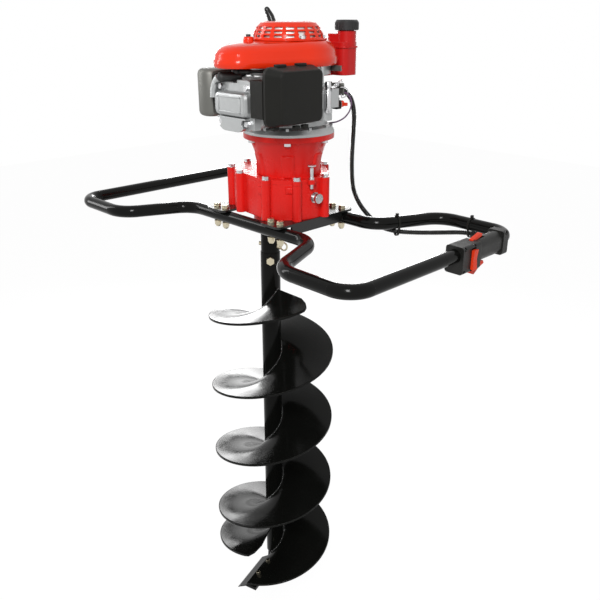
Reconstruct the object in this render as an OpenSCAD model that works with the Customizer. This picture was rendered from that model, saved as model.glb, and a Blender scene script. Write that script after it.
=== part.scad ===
// Two-man earth auger: a petrol engine on a clutch bell and reduction gearbox,
// a bent-tube handle frame and a flighted auger. The auger turns about the Z axis,
// the pilot point's tip is at the origin and the engine stands on top.

/* [Auger] */
// Diameter of the hole that the auger cuts
auger_d = 300; // [200:5:320]
// Rise of the flight in one turn
flight_pitch = 186; // [150:1:220]
// Turns of the main flight
flight_turns = 4.2; // [3:0.1:4.3]
// Thickness of the flight sheet
flight_t = 6; // [4:0.5:8]
// Outside diameter of the centre tube
tube_d = 46; // [42:1:56]
// Wall of the centre tube
tube_wall = 4; // [3:0.5:5]
// Height of the flight's top end above the pilot tip
flight_top_z = 849; // [820:1:860]
// Height of the centre tube's top end
tube_top_z = 940; // [930:1:945]
// Height of the centre tube's bottom end
tube_bottom_z = 72; // [68:1:80]
// Width of a blade from its back edge to its cutting edge
blade_w = 62; // [50:1:70]
// Thickness of the cutting blades
blade_t = 9; // [6:0.5:12]
// Width of the fishtail point
pilot_w = 50; // [40:1:60]

/* [Drive socket] */
// Outside diameter of the socket collar above the auger tube
socket_d = 43; // [41:0.5:46]
// Height of the socket collar's top
socket_top_z = 985; // [975:1:990]
// Diameter of the output shaft
shaft_d = 25; // [22:0.5:28]
// Diameter of the lock pin
pin_d = 10; // [8:0.5:12]
// Height of the lock pin
pin_z = 956; // [954:1:960]

/* [Handle frame] */
// Outside diameter of the handle tube
frame_tube_d = 27; // [22:0.5:30]
// Wall of the handle tube
frame_wall = 2.5; // [2:0.25:3]
// Height of the handle tubes' axes
frame_z = 1032.5; // [1028:0.5:1036]
// Distance from the frame's middle to each long tube
frame_half_gap = 92.5; // [88:0.5:100]
// Half length of the straight run past the gearbox
frame_run = 198; // [185:1:210]
// Reach from the frame's middle to where a loop is full width
frame_flare = 264; // [250:1:275]
// Half width of a handle loop
loop_half_w = 245; // [230:1:260]
// Reach from the frame's middle to a grip bar
grip_reach = 437.5; // [420:0.5:450]
// Radius of the bends at the waist
waist_bend_r = 58; // [45:1:60]
// Radius of the bends at the grip bars
grip_bend_r = 45; // [38:1:48]
// Thickness of the cross plates
plate_t = 5; // [4:0.5:6]
// Width of a cross plate
plate_w = 62; // [56:1:66]
// Distance from the frame's middle to a cross plate's middle
plate_reach = 90; // [88:1:96]

/* [Gearbox] */
// Distance from the auger axis to the engine axis
engine_x = 65; // [64:0.5:66]
// Height of the gear case
case_h = 75; // [73:1:80]
// Wall of the gear case
case_wall = 7; // [6:0.5:8]
// Radius of the case round the auger axis
lobe_r = 78; // [76:1:82]
// Radius of the case round the engine axis
main_r = 86; // [82:1:90]
// Thickness of the bell casting's lower flange
cover_t = 9; // [7:0.5:11]
// Height of the clutch bell above its lower flange
bell_h = 87; // [85:1:95]
// Radius of the bell's waist
bell_waist_r = 66; // [64:0.5:70]
// Radius of the engine flange
flange_r = 96; // [92:1:100]
// Module of the input gear pair
module_in = 1.75; // [1.7:0.05:1.75]
// Module of the output gear pair
module_out = 2; // [1.9:0.05:2]
// Diameter of the layshaft
lay_d = 16; // [14:0.5:17]
// Outside diameter of the clutch drum
drum_d = 96; // [90:1:100]
// Wall of the clutch drum
drum_wall = 4; // [3:0.5:5]
// Outward travel of each clutch shoe
shoe_travel = 1; // [0.6:0.1:1]

/* [Throttle control] */
// Length of the switch housing along the grip bar
switch_l = 60; // [55:1:65]
// Length of the hand grip
hand_grip_l = 80; // [70:1:85]
// Width of the switch housing
switch_w = 40; // [38:1:46]
// Height of the switch housing
switch_h = 54; // [50:1:58]
// Outside diameter of the ribbed control conduit
conduit_d = 10.5; // [9:0.5:11]

/* [Engine] */
// Diameter of the crankshaft
crank_d = 22; // [20:0.5:24]
// Radius of the fan shroud round the crankshaft
shroud_r = 100; // [98:1:108]
// Radius of the shroud's nose over the cylinder head
nose_r = 50; // [44:1:56]
// Distance from the crankshaft to the middle of the nose
nose_reach = 128; // [120:1:132]
// Fall of the shroud's top towards the tip of its nose
nose_drop = 10; // [6:0.5:14]
// Height of the shroud's side
shroud_h = 47; // [45:1:52]
// Radius of the recoil cover's rim
recoil_r = 78; // [76:0.5:80]
// Height of the recoil cover
recoil_h = 34; // [32:1:38]
// Length of the fuel tank
tank_l = 135; // [120:1:140]
// Depth of the fuel tank
tank_w = 48; // [44:1:50]
// Height of the fuel tank below its seam
tank_h = 56; // [50:1:58]
// Width of the air cleaner cover's face
cleaner_w = 108; // [100:1:112]
// Height of the air cleaner cover's face
cleaner_h = 95; // [88:1:98]
// Depth of the air cleaner cover
cleaner_d = 37; // [30:1:42]
// Diameter of the fuel cap
cap_d = 50; // [46:1:54]

/* [Clearances] */
// Radial clearance of shafts and pins that turn or slide
run_gap = 0.05; // [0.02:0.01:0.1]
// Radial clearance of bolts in their holes
bolt_gap = 0.3; // [0.2:0.05:0.5]
// Clearance between pieces that move past each other
move_gap = 0.6; // [0.4:0.1:1]

/* [Hidden] */
$fn = 64;
BIG = 400;
EPS = 0.01;
RED = "orangered";
BLACK = [0.1, 0.1, 0.1];
SILVER = [0.75, 0.76, 0.77];
ZINC = [0.82, 0.78, 0.66];

tube_r = tube_d / 2;
auger_r = auger_d / 2;
flight_steps = 48;
weld_gap = 0.15;
frame_x = engine_x / 2;
frame_r = frame_tube_d / 2;
grip_x = frame_x + grip_reach;
plate_z = frame_z + frame_r;
case_z = plate_z + plate_t;
cover_z = case_z + case_h;
bell_z = cover_z + cover_t;
engine_z = bell_z + bell_h;
shaft_r = shaft_d / 2;
lay_r = lay_d / 2;
drum_r = drum_d / 2;
crank_r = crank_d / 2;

// Gear train: the layshaft stands behind the line from the auger axis to the engine axis.
pinion_teeth = 10;
wheel_teeth = 55;
reach_in = module_in * (pinion_teeth + wheel_teeth) / 2;
reach_out = module_out * (pinion_teeth + wheel_teeth) / 2;
lay_x = (reach_out ^ 2 - reach_in ^ 2 + engine_x ^ 2) / (2 * engine_x);
lay_y = sqrt(reach_out ^ 2 - lay_x ^ 2);
lay_lobe_r = 60;
wheel_out_z = case_z + 17;
wheel_out_t = 18;
wheel_in_z = case_z + 40;
wheel_in_t = 14;
lay_low_z = case_z + 4;
lay_high_z = cover_z - 14;
small_bearing = [16, 9];
out_bearing = [26, 15];
top_bearing = [20, 12];
in_bearing = [17.5, 11];
boss_low_z = case_z - 40;
seal_t = 7;

module at_engine() { translate([engine_x, 0, 0]) children(); }
module at_lay() { translate([lay_x, lay_y, 0]) children(); }

// Plain shapes

module ring(outer_r, inner_r, h) {
    difference() {
        cylinder(r = outer_r, h = h);
        translate([0, 0, -1]) cylinder(r = inner_r, h = h + 2);
    }
}

// Flat outline with round corners, centred on the origin
module round_rect(w, h, r) {
    square([w - 2 * r, h], center = true);
    square([w, h - 2 * r], center = true);
    for (x = [-1, 1], y = [-1, 1]) translate([x * (w / 2 - r), y * (h / 2 - r)]) circle(r = r);
}

// Flat outline of a belt round two circles, whose straight sides dip a little inside them
belt_dip = 0.3;
module belt(p, rp, q, rq) {
    d = norm(q - p);
    turn = atan2(q[1] - p[1], q[0] - p[0]);
    lean = acos((rp - rq) / d);
    function rim(c, r, a) = c + (r - belt_dip) * [cos(turn + a), sin(turn + a)];
    translate(p) circle(r = rp);
    translate(q) circle(r = rq);
    polygon([rim(p, rp, lean), rim(p, rp, -lean), rim(q, rq, -lean), rim(q, rq, lean)]);
}

// Hexagon-headed bolt: head above z = 0, shank below it
module bolt(shank_r, shank_l, head_w, head_h, washer_r = 0) {
    washer_t = washer_r > 0 ? 1.5 : 0;
    translate([0, 0, washer_t]) cylinder(r = head_w / sqrt(3), h = head_h, $fn = 6);
    if (washer_r > 0) cylinder(r = washer_r, h = washer_t);
    translate([0, 0, -shank_l]) cylinder(r = shank_r, h = shank_l + 1);
}

// Closed skin through a list of rings with equal point counts
module loft(rings) {
    n = len(rings[0]);
    m = len(rings);
    sides = [for (i = [0 : m - 2], j = [0 : n - 1])
        let (k = (j + 1) % n)
        each [[i * n + j, i * n + k, (i + 1) * n + k], [i * n + j, (i + 1) * n + k, (i + 1) * n + j]]];
    caps = [[for (j = [n - 1 : -1 : 0]) j], [for (j = [0 : n - 1]) (m - 1) * n + j]];
    polyhedron([for (r = rings) each r], concat([for (f = sides) [f[0], f[2], f[1]]],
        [for (c = caps) [for (j = [n - 1 : -1 : 0]) c[j]]]));
}

// Closed skin through rings whose last ring joins the first
module ring_skin(rings) {
    n = len(rings[0]);
    m = len(rings);
    polyhedron([for (r = rings) each r], [for (i = [0 : m - 1], j = [0 : n - 1])
        let (k = (j + 1) % n, i2 = (i + 1) % m)
        each [[i * n + j, i2 * n + k, i * n + k], [i * n + j, i2 * n + j, i2 * n + k]]]);
}

// Points of a rounded rectangle, corner by corner
function rect_ring(w, h, r, steps = 6) = [for (c = [0 : 3], s = [0 : steps])
    let (a = 90 * (c + s / steps), sx = (c == 0 || c == 3) ? 1 : -1, sy = c < 2 ? 1 : -1)
    [sx * (w / 2 - r) + r * cos(a), sy * (h / 2 - r) + r * sin(a)]];

// Smooth curve through a route's points
function curve_at(p, i, t) =
    let (a = p[max(i - 1, 0)], b = p[i], c = p[i + 1], d = p[min(i + 2, len(p) - 1)])
    0.5 * ((2 * b) + (c - a) * t + (2 * a - 5 * b + 4 * c - d) * t ^ 2 + (3 * b - a - 3 * c + d) * t ^ 3);
function curve(p, steps) = [for (i = [0 : len(p) - 2], s = [0 : steps - 1]) curve_at(p, i, s / steps),
    p[len(p) - 1]];
function unit(v) = v / norm(v);
function run_lengths(c, i = 1, sum = 0, acc = [0]) =
    i >= len(c) ? acc : let (s = sum + norm(c[i] - c[i - 1])) run_lengths(c, i + 1, s, concat(acc, [s]));
function point_at(c, runs, s) =
    let (k = min(max([for (i = [0 : len(runs) - 2]) if (runs[i] <= s) i]), len(c) - 2))
    c[k] + (c[k + 1] - c[k]) * (s - runs[k]) / (runs[k + 1] - runs[k]);
function hoop(centre, along, r, sides, side_ref) =
    let (u = unit(cross(along, side_ref)), v = cross(along, u))
    [for (j = [0 : sides - 1]) centre + r * (cos(360 * j / sides) * u + sin(360 * j / sides) * v)];

// Plain cord along a route
module cord(points, r, steps, sides, side_ref) {
    c = curve(points, steps);
    n = len(c);
    loft([for (i = [0 : n - 1]) hoop(c[i], unit(c[min(i + 1, n - 1)] - c[max(i - 1, 0)]), r, sides, side_ref)]);
}

// Involute spur gear teeth, thinned by the backlash, with a tooth centred on +X
pressure = 25;
backlash = 0.3;
function inv(a) = tan(a) * 180 / PI - a;
function flank(m, teeth, r) =
    let (rb = m * teeth / 2 * cos(pressure), half = 90 / teeth - backlash / (m * teeth) * 180 / PI,
        a = r > rb ? acos(rb / r) : 0)
    half + inv(pressure) - inv(a);
function tooth_points(m, teeth) =
    let (rp = m * teeth / 2, r0 = rp - m, r1 = rp + 0.8 * m,
        radii = [r0, rp - 0.4 * m, rp + 0.2 * m, r1])
    [for (i = [0 : teeth - 1]) let (mid = 360 / teeth * i)
        each concat(
            [for (r = radii) r * [cos(mid - flank(m, teeth, r)), sin(mid - flank(m, teeth, r))]],
            [for (k = [len(radii) - 1 : -1 : 0]) let (r = radii[k])
                r * [cos(mid + flank(m, teeth, r)), sin(mid + flank(m, teeth, r))]])];
module gear_blank(m, teeth, h) { linear_extrude(h) polygon(tooth_points(m, teeth)); }

// Auger

flight_in_r = tube_r + weld_gap;
main_start = -360 * flight_turns;
main_end_z = flight_top_z - flight_pitch * flight_turns;
lead_turn = 0.53;
function flight_z(a) = flight_top_z + flight_pitch * a / 360;
function flight_edge(from_top, reach) = auger_r - 45 * max(0, 1 - from_top / reach) ^ 2;

// Helical sheet from angle a0 up to a1, whose upper outer corner is rounded over the reach in degrees
module flight(a0, a1, lift, reach) {
    steps = ceil((a1 - a0) / 360 * flight_steps);
    in_r = flight_in_r;
    loft([for (i = [0 : steps])
        let (a = a0 + (a1 - a0) * i / steps, z = flight_z(a) + lift, out_r = flight_edge(a1 - a, reach),
            c = [cos(a), sin(a)])
        [[in_r * c[0], in_r * c[1], z - flight_t / 2], [out_r * c[0], out_r * c[1], z - flight_t / 2],
            [out_r * c[0], out_r * c[1], z + flight_t / 2], [in_r * c[0], in_r * c[1], z + flight_t / 2]]]);
}

blade_bolt_r = 5;
blade_bolt_reach = [62, 112];
blade_lap = 26;
blade_rake = 34;
cross_bolt_z = tube_top_z - 16;
cross_bolt_r = 5;
cross_bolt_turn = -42;

// Each blade lies under its flight's lower end, with its front half bent down
module at_blades() {
    for (turn = [main_start, main_start + 180])
        translate([0, 0, main_end_z - flight_t / 2]) rotate(turn) children();
}

module blade_holes(r) {
    at_blades() for (x = blade_bolt_reach) translate([x, blade_lap / 2, -60]) cylinder(r = r, h = 90);
}

module auger_tube() {
    color(BLACK) difference() {
        translate([0, 0, tube_bottom_z]) cylinder(r = tube_r, h = tube_top_z - tube_bottom_z);
        translate([0, 0, tube_bottom_z - 1]) cylinder(r = tube_r - tube_wall, h = tube_top_z - tube_bottom_z + 2);
        cross_bolt_hole();
    }
}

module cross_bolt_hole() {
    translate([0, 0, cross_bolt_z]) rotate([0, 90, cross_bolt_turn])
        cylinder(r = cross_bolt_r + bolt_gap, h = 100, center = true);
}

module auger_flight() {
    color(BLACK) difference() {
        flight(main_start, 0, 0, 14);
        blade_holes(blade_bolt_r + bolt_gap);
    }
}

module starter_flight() {
    color(BLACK) difference() {
        flight(main_start + 180, main_start + 180 + 360 * lead_turn, -flight_pitch / 2, 10);
        blade_holes(blade_bolt_r + bolt_gap);
    }
}

module cutting_blades() {
    front = blade_w - blade_lap;
    c = front * cos(blade_rake);
    s = front * sin(blade_rake);
    tx = blade_t * sin(blade_rake);
    tz = blade_t * cos(blade_rake);
    color(BLACK) difference() {
        at_blades() translate([flight_in_r, 0, 0]) rotate([90, 0, 90])
            linear_extrude(auger_r - flight_in_r - 1)
            polygon([[blade_lap, 0], [blade_lap, -blade_t], [-tx, -tz], [-c, -s - blade_t / 4], [0, 0]]);
        blade_holes(blade_bolt_r + bolt_gap);
    }
}

module auger_bolts() {
    color(ZINC) {
        at_blades() for (x = blade_bolt_reach) translate([x, blade_lap / 2, -blade_t])
            rotate([180, 0, 0]) bolt(blade_bolt_r, blade_t + flight_t + 12, 16, 7);
        translate([0, 0, cross_bolt_z]) rotate([0, 90, cross_bolt_turn]) {
            translate([0, 0, tube_r]) bolt(cross_bolt_r, 2 * tube_r + 10, 17, 7);
            translate([0, 0, -tube_r - 8]) difference() {
                cylinder(r = 17 / sqrt(3), h = 8, $fn = 6);
                translate([0, 0, -1]) cylinder(r = cross_bolt_r + bolt_gap, h = 10);
            }
        }
    }
}

module pilot_point() {
    blade = 12;
    color(BLACK) {
        translate([0, 0, tube_bottom_z]) cylinder(r = tube_r - tube_wall - run_gap, h = 36);
        translate([0, blade / 2, 0]) rotate([90, 0, 0]) linear_extrude(blade)
            polygon([[0, 0], [pilot_w / 3, 26], [pilot_w / 2, 22], [pilot_w / 2 - 2, 50], [16, tube_bottom_z],
                [-16, tube_bottom_z], [2 - pilot_w / 2, 50], [-pilot_w / 2, 22], [-pilot_w / 3, 26]]);
    }
}

socket_floor_z = tube_top_z + 2;
lock_pin_turn = 20;

module lock_pin_bore(r) {
    translate([0, 0, pin_z]) rotate([0, 90, lock_pin_turn]) cylinder(r = r, h = 120, center = true);
}

module drive_socket() {
    spigot_r = tube_r - tube_wall - run_gap;
    color(BLACK) difference() {
        union() {
            translate([0, 0, tube_top_z - 60]) cylinder(r = spigot_r, h = 61);
            translate([0, 0, tube_top_z]) cylinder(r = socket_d / 2, h = socket_top_z - tube_top_z);
        }
        translate([0, 0, socket_floor_z]) cylinder(r = shaft_r + run_gap, h = 100);
        lock_pin_bore(pin_d / 2 + run_gap);
        cross_bolt_hole();
    }
}

// Lock pin with a pull ring: it draws out of the socket and shaft
module lock_pin() {
    head = socket_d / 2 + 1;
    color(ZINC) translate([0, 0, pin_z]) rotate([0, 90, lock_pin_turn]) {
        translate([0, 0, -socket_d / 2 - 6]) cylinder(r = pin_d / 2, h = socket_d + 7);
        translate([0, 0, head - 1]) cylinder(r = pin_d * 0.8, h = 6);
        translate([0, 0, head + 12]) rotate([90, 0, 0]) rotate_extrude()
            translate([9, 0]) circle(r = 2, $fn = 24);
    }
}

// Gearbox

case_a = [0, 0];
case_b = [engine_x, 0];
case_c = [lay_x, lay_y];

// Case outline round its three shafts, drawn in by the inset
module case_outline(inset) {
    belt(case_b, main_r - inset, case_a, lobe_r - inset);
    belt(case_b, main_r - inset, case_c, lay_lobe_r - inset);
    belt(case_a, lobe_r - inset, case_c, lay_lobe_r - inset);
}

boss_r = 10;
case_neck_r = 36;
case_bolt_r = 4;
main_bolt_turns = [-75, -33, 12];
lobe_bolt_turns = [-90, -138, 174, 126];
case_bolt_places = concat(
    [for (a = main_bolt_turns) case_b + (main_r + 5) * [cos(a), sin(a)]],
    [for (a = lobe_bolt_turns) case_a + (lobe_r + 5) * [cos(a), sin(a)]],
    [case_c + (lay_lobe_r + 5) * [cos(70), sin(70)]]);
mount_bolt_places = [for (x = [-1, 1], y = [-1, 1]) [frame_x + x * plate_reach, y * 34]];
mount_bolt_r = 5;

module at_case_bolts() { for (p = case_bolt_places) translate([p[0], p[1], 0]) children(); }
module at_mount_bolts() { for (p = mount_bolt_places) translate([p[0], p[1], 0]) children(); }

// Bearing seat: a step of the bearing's radius under a narrower way for the shaft
module seat(bearing, z) {
    translate([0, 0, z]) cylinder(r = bearing[0] + run_gap, h = bearing[1]);
}

module gear_case() {
    color(RED) difference() {
        union() {
            difference() {
                translate([0, 0, case_z]) linear_extrude(case_h) union() {
                    case_outline(0);
                    at_case_bolts() circle(r = boss_r);
                }
                translate([0, 0, case_z + 8]) linear_extrude(case_h) case_outline(case_wall);
            }
            translate([0, 0, boss_low_z]) cylinder(r = case_neck_r, h = case_z - boss_low_z + 8);
            at_lay() translate([0, 0, case_z + 1]) cylinder(r = small_bearing[0] + 4, h = 12);
            at_mount_bolts() translate([0, 0, case_z + 1]) cylinder(r = 11, h = 14);
            // Cast pad and rib on the front wall
            translate([engine_x + 18, -main_r - 4, case_z + 20]) cube([12, 14, case_h - 22]);
            translate([engine_x + 2, -main_r - 6, case_z + case_h - 22]) cube([28, 16, 14]);
        }
        translate([0, 0, boss_low_z - 1]) cylinder(r = shaft_r + move_gap, h = 100);
        translate([0, 0, boss_low_z + seal_t + 4]) cylinder(r = out_bearing[0] + run_gap, h = out_bearing[1]);
        translate([0, 0, boss_low_z - 1]) cylinder(r = 22 + run_gap, h = seal_t + 1);
        translate([0, 0, boss_low_z + seal_t + 4]) cylinder(r = 22, h = 100);
        at_lay() seat(small_bearing, lay_low_z);
        at_lay() translate([0, 0, lay_low_z]) cylinder(r = lay_r + 3, h = 40);
        at_case_bolts() translate([0, 0, cover_z - 30]) cylinder(r = case_bolt_r + bolt_gap, h = 40);
        at_mount_bolts() translate([0, 0, case_z - 1]) cylinder(r = mount_bolt_r + bolt_gap, h = 12);
        breather_place() translate([0, 0, -12]) cylinder(r = 4 + bolt_gap, h = 30);
        oil_plug_place() translate([0, 0, -12]) cylinder(r = 8 + bolt_gap, h = 12);
    }
}

breather_turn = -12;
plug_turn = -6;
module breather_place() {
    at_engine() rotate(breather_turn) translate([main_r + 3, 0, cover_z]) children();
}
module oil_plug_place() {
    at_engine() rotate(plug_turn) translate([main_r, 0, cover_z - 30]) rotate([0, 90, 0]) children();
}

module bell_profile(inset, low, high) {
    polygon(concat([[0, low]],
        [for (t = [0 : 0.1 : 1]) [bell_waist_r - inset + (flange_r - 8 - bell_waist_r) * t ^ 2.2,
            low + (high - low) * t]],
        [[0, high]]));
}

bell_hub_r = 25;
bell_floor_z = cover_z - 18;
bell_floor_top = bell_z + 16;
in_low_z = bell_floor_z + 4;
in_high_z = bell_floor_top - in_bearing[1] - 3;
flange_bolt_turns = [-45, 15, 75, 135, 195, 255];
flange_bolt_pcr = flange_r - 9;
flange_bolt_r = 4;

module at_flange_bolts() {
    at_engine() for (a = flange_bolt_turns) rotate(a) translate([flange_bolt_pcr, 0, 0]) children();
}

module bell_housing() {
    color(RED) difference() {
        union() {
            translate([0, 0, cover_z]) linear_extrude(cover_t) union() {
                case_outline(0);
                at_case_bolts() circle(r = boss_r);
            }
            breather_place() cylinder(r = 9, h = cover_t);
            at_engine() rotate_extrude() bell_profile(0, cover_z + 1, engine_z - 6);
            at_engine() translate([0, 0, engine_z - 11]) cylinder(r = flange_r, h = 11);
            at_engine() translate([0, 0, bell_floor_z]) cylinder(r = bell_hub_r, h = 30);
            translate([0, 0, cover_z - 20]) cylinder(r = top_bearing[0] + 6, h = 21);
            at_lay() translate([0, 0, cover_z - 16]) cylinder(r = small_bearing[0] + 4, h = 17);
            // Ribs down the bell
            at_engine() for (a = [-45 : 90 : 225]) rotate(a) for (y = [-11, 11])
                translate([bell_waist_r - 8, y - 3, bell_z - 1]) cube([10.5, 6, bell_h - 10]);
        }
        at_engine() difference() {
            rotate_extrude() bell_profile(case_wall + 2, bell_floor_z, engine_z + 1);
            translate([0, 0, bell_floor_z - 1]) cylinder(r = bell_waist_r, h = bell_floor_top - bell_floor_z - 8);
            translate([0, 0, bell_floor_z - 1]) cylinder(r = bell_hub_r, h = bell_floor_top - bell_floor_z + 1);
        }
        at_engine() translate([0, 0, bell_floor_z - 1]) cylinder(r = lay_r + 4, h = 80);
        at_engine() seat(in_bearing, in_low_z);
        at_engine() seat(in_bearing, in_high_z);
        at_engine() translate([0, 0, bell_floor_z - 1]) cylinder(r = in_bearing[0] + run_gap, h = 6);
        at_engine() translate([0, 0, in_high_z]) cylinder(r = in_bearing[0] + run_gap, h = 30);
        translate([0, 0, cover_z - 21]) cylinder(r = top_bearing[0] + run_gap, h = top_bearing[1] + 3);
        at_lay() translate([0, 0, cover_z - 17])
            cylinder(r = small_bearing[0] + run_gap, h = small_bearing[1] + 3);
        at_lay() translate([0, 0, cover_z - 17]) cylinder(r = lay_r + 2, h = 20);
        at_case_bolts() translate([0, 0, cover_z - 1]) cylinder(r = case_bolt_r + bolt_gap, h = cover_t + 2);
        // Spot faces and holes for the engine bolts
        at_flange_bolts() translate([0, 0, engine_z - 60]) cylinder(r = 9, h = 49);
        at_flange_bolts() translate([0, 0, engine_z - 60]) cylinder(r = flange_bolt_r + bolt_gap, h = 62);
        breather_place() translate([0, 0, -1]) cylinder(r = 4 + bolt_gap, h = cover_t + 2);
        at_case_bolts() translate([0, 0, bell_z]) cylinder(r = 10, h = 30);
    }
}

module gearbox_bolts() {
    color(SILVER) {
        at_case_bolts() translate([0, 0, bell_z]) bolt(case_bolt_r, cover_t + 20, 13, 6, 8);
        at_mount_bolts() translate([0, 0, plate_z]) rotate([180, 0, 0])
            bolt(mount_bolt_r, plate_t + 10, 16, 7, 10);
        at_flange_bolts() translate([0, 0, engine_z - 11]) rotate([180, 0, 0]) bolt(flange_bolt_r, 22, 13, 6);
    }
}

// Breather: a stem with a flat cap
module breather_plug() {
    color(SILVER) breather_place() {
        translate([0, 0, -10]) cylinder(r = 4, h = 12 + cover_t + 24);
        translate([0, 0, cover_t]) cylinder(r = 6, h = 4);
        translate([0, 0, cover_t + 24]) cylinder(r1 = 4, r2 = 9, h = 4);
        translate([0, 0, cover_t + 28]) cylinder(r = 9, h = 2);
    }
}

module oil_plug() {
    color(SILVER) oil_plug_place() {
        translate([0, 0, -6]) cylinder(r = 8, h = 8);
        translate([0, 0, 0.5]) cylinder(r = 11, h = 3);
        translate([0, 0, 3]) cylinder(r = 6, h = 8);
        translate([0, 0, 11]) cylinder(r = 10, h = 6);
    }
}

module gearbox_bearings() {
    color("slategray") {
        translate([0, 0, boss_low_z + seal_t + 4]) ring(out_bearing[0], shaft_r + run_gap, out_bearing[1]);
        translate([0, 0, cover_z - 18]) ring(top_bearing[0], shaft_r + run_gap, top_bearing[1]);
        at_lay() translate([0, 0, lay_low_z]) ring(small_bearing[0], lay_r + run_gap, small_bearing[1]);
        at_lay() translate([0, 0, lay_high_z]) ring(small_bearing[0], lay_r + run_gap, small_bearing[1]);
        at_engine() translate([0, 0, in_low_z]) ring(in_bearing[0], pinion_shaft_r + run_gap, in_bearing[1]);
        at_engine() translate([0, 0, in_high_z]) ring(in_bearing[0], pinion_shaft_r + run_gap, in_bearing[1]);
    }
}

module output_seal() {
    color("dimgray") translate([0, 0, boss_low_z]) ring(22, shaft_r + run_gap, seal_t);
}

module output_shaft() {
    low = socket_floor_z + 1;
    color(SILVER) difference() {
        union() {
            translate([0, 0, low]) cylinder(r = shaft_r, h = cover_z - 7 - low);
            translate([0, 0, boss_low_z + seal_t + 4 + out_bearing[1]])
                cylinder(r = shaft_r + 4, h = wheel_out_z - boss_low_z - seal_t - 4 - out_bearing[1]);
        }
        lock_pin_bore(pin_d / 2 + run_gap);
    }
}

// Turns a gear so that a tooth, or a gap, faces its mate
out_turn = atan2(lay_y, lay_x);
in_turn = atan2(-lay_y, engine_x - lay_x);
half_pitch = 180 / pinion_teeth;

module output_gear() {
    color("gray") translate([0, 0, wheel_out_z]) difference() {
        rotate(out_turn) gear_blank(module_out, wheel_teeth, wheel_out_t);
        translate([0, 0, -1]) cylinder(r = shaft_r + run_gap, h = 40);
        for (a = [0 : 60 : 300]) rotate(a) translate([33, 0, -1]) cylinder(r = 10, h = 40);
    }
}

module layshaft() {
    color("gray") at_lay() {
        translate([0, 0, lay_low_z]) cylinder(r = lay_r, h = cover_z - 4 - lay_low_z);
        translate([0, 0, wheel_out_z - 1]) rotate(out_turn + 180 + half_pitch)
            gear_blank(module_out, pinion_teeth, wheel_out_t + 2);
    }
}

module layshaft_gear() {
    color("gray") at_lay() translate([0, 0, wheel_in_z]) difference() {
        rotate(in_turn) gear_blank(module_in, wheel_teeth, wheel_in_t);
        translate([0, 0, -1]) cylinder(r = lay_r + run_gap, h = 40);
        for (a = [0 : 60 : 300]) rotate(a) translate([29, 0, -1]) cylinder(r = 9, h = 40);
    }
}

pinion_shaft_r = 7.5;
drum_z = bell_floor_top + 4;
drum_h = 38;

module pinion_shaft() {
    color("gray") at_engine() {
        translate([0, 0, wheel_in_z - 1]) rotate(in_turn + 180 + half_pitch)
            gear_blank(module_in, pinion_teeth, wheel_in_t + 2);
        translate([0, 0, wheel_in_z + 1]) cylinder(r = module_in * pinion_teeth / 2 - module_in, h = 30);
        translate([0, 0, in_low_z - 1]) cylinder(r = pinion_shaft_r, h = drum_z + 9 - in_low_z);
    }
}

module clutch_drum() {
    color("dimgray") at_engine() translate([0, 0, drum_z]) difference() {
        union() {
            cylinder(r = drum_r, h = drum_h);
            translate([0, 0, -3]) cylinder(r = 12, h = 4);
        }
        translate([0, 0, 5]) cylinder(r = drum_r - drum_wall, h = drum_h);
        translate([0, 0, -4]) cylinder(r = pinion_shaft_r + run_gap, h = 20);
        for (a = [30 : 60 : 330]) rotate(a) translate([28, 0, -1]) cylinder(r = 7, h = 10);
    }
}

// Clutch: two shoes ride on the hub and fly out against the drum
hub_r = 20;
hub_z = drum_z + 14;
hub_t = 18;
shoe_gap = 0.3;
shoe_r = drum_r - drum_wall - shoe_travel - 0.4;
arm_w = 12;

module clutch_hub() {
    color("gray") at_engine() difference() {
        union() {
            translate([0, 0, hub_z]) cylinder(r = hub_r, h = hub_t);
            translate([-shoe_r + 1, -arm_w / 2, hub_z]) cube([2 * shoe_r - 2, arm_w, hub_t]);
        }
        translate([0, 0, hub_z - 1]) cylinder(r = crank_r + run_gap, h = hub_t + 2);
    }
}

module clutch_shoe(side) {
    slot = arm_w + 2 * shoe_gap;
    color("dimgray") at_engine() translate([0, 0, hub_z + 1]) difference() {
        cylinder(r = shoe_r, h = hub_t - 2);
        translate([0, 0, -1]) cylinder(r = hub_r + shoe_gap, h = hub_t + 2);
        translate([-BIG / 2, side > 0 ? -BIG + slot / 2 : -slot / 2, -1]) cube([BIG, BIG, hub_t + 2]);
    }
}

module clutch_shoe_a() { clutch_shoe(1); }
module clutch_shoe_b() { clutch_shoe(-1); }

// Handle frame

// Tube along a flat polyline with the given bend radii at its inner corners
module bent_tube(p, bends, r, bore_r) {
    n = len(p);
    function dir(i) = unit(p[i + 1] - p[i]);
    function turn(i) = let (a = dir(i - 1), b = dir(i)) atan2(a[0] * b[1] - a[1] * b[0], a * b);
    function trim(i) = (i <= 0 || i >= n - 1) ? 0 : bends[i - 1] * tan(abs(turn(i)) / 2);
    for (i = [0 : n - 2]) {
        from = p[i] + dir(i) * (trim(i) - (i > 0 ? bend_lap : 0));
        to = p[i + 1] - dir(i) * (trim(i + 1) - (i < n - 2 ? bend_lap : 0));
        translate([from[0], from[1], 0]) rotate([90, 0, atan2(dir(i)[1], dir(i)[0]) + 90])
            linear_extrude(norm(to - from)) tube_section(r, bore_r);
    }
    for (i = [1 : n - 2]) {
        side = sign(turn(i));
        d = dir(i - 1);
        left = side * [-d[1], d[0]];
        centre = p[i] - d * trim(i) + left * bends[i - 1];
        start = atan2(-left[1], -left[0]);
        translate([centre[0], centre[1], 0]) rotate(side > 0 ? start : start - abs(turn(i)))
            rotate_extrude(angle = abs(turn(i))) translate([bends[i - 1], 0])
                tube_section(r + bend_swell, bore_r - bend_swell);
    }
}

// A bend is a hair thicker than the runs that lap into it
bend_swell = 0.12;
bend_lap = 1;

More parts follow.
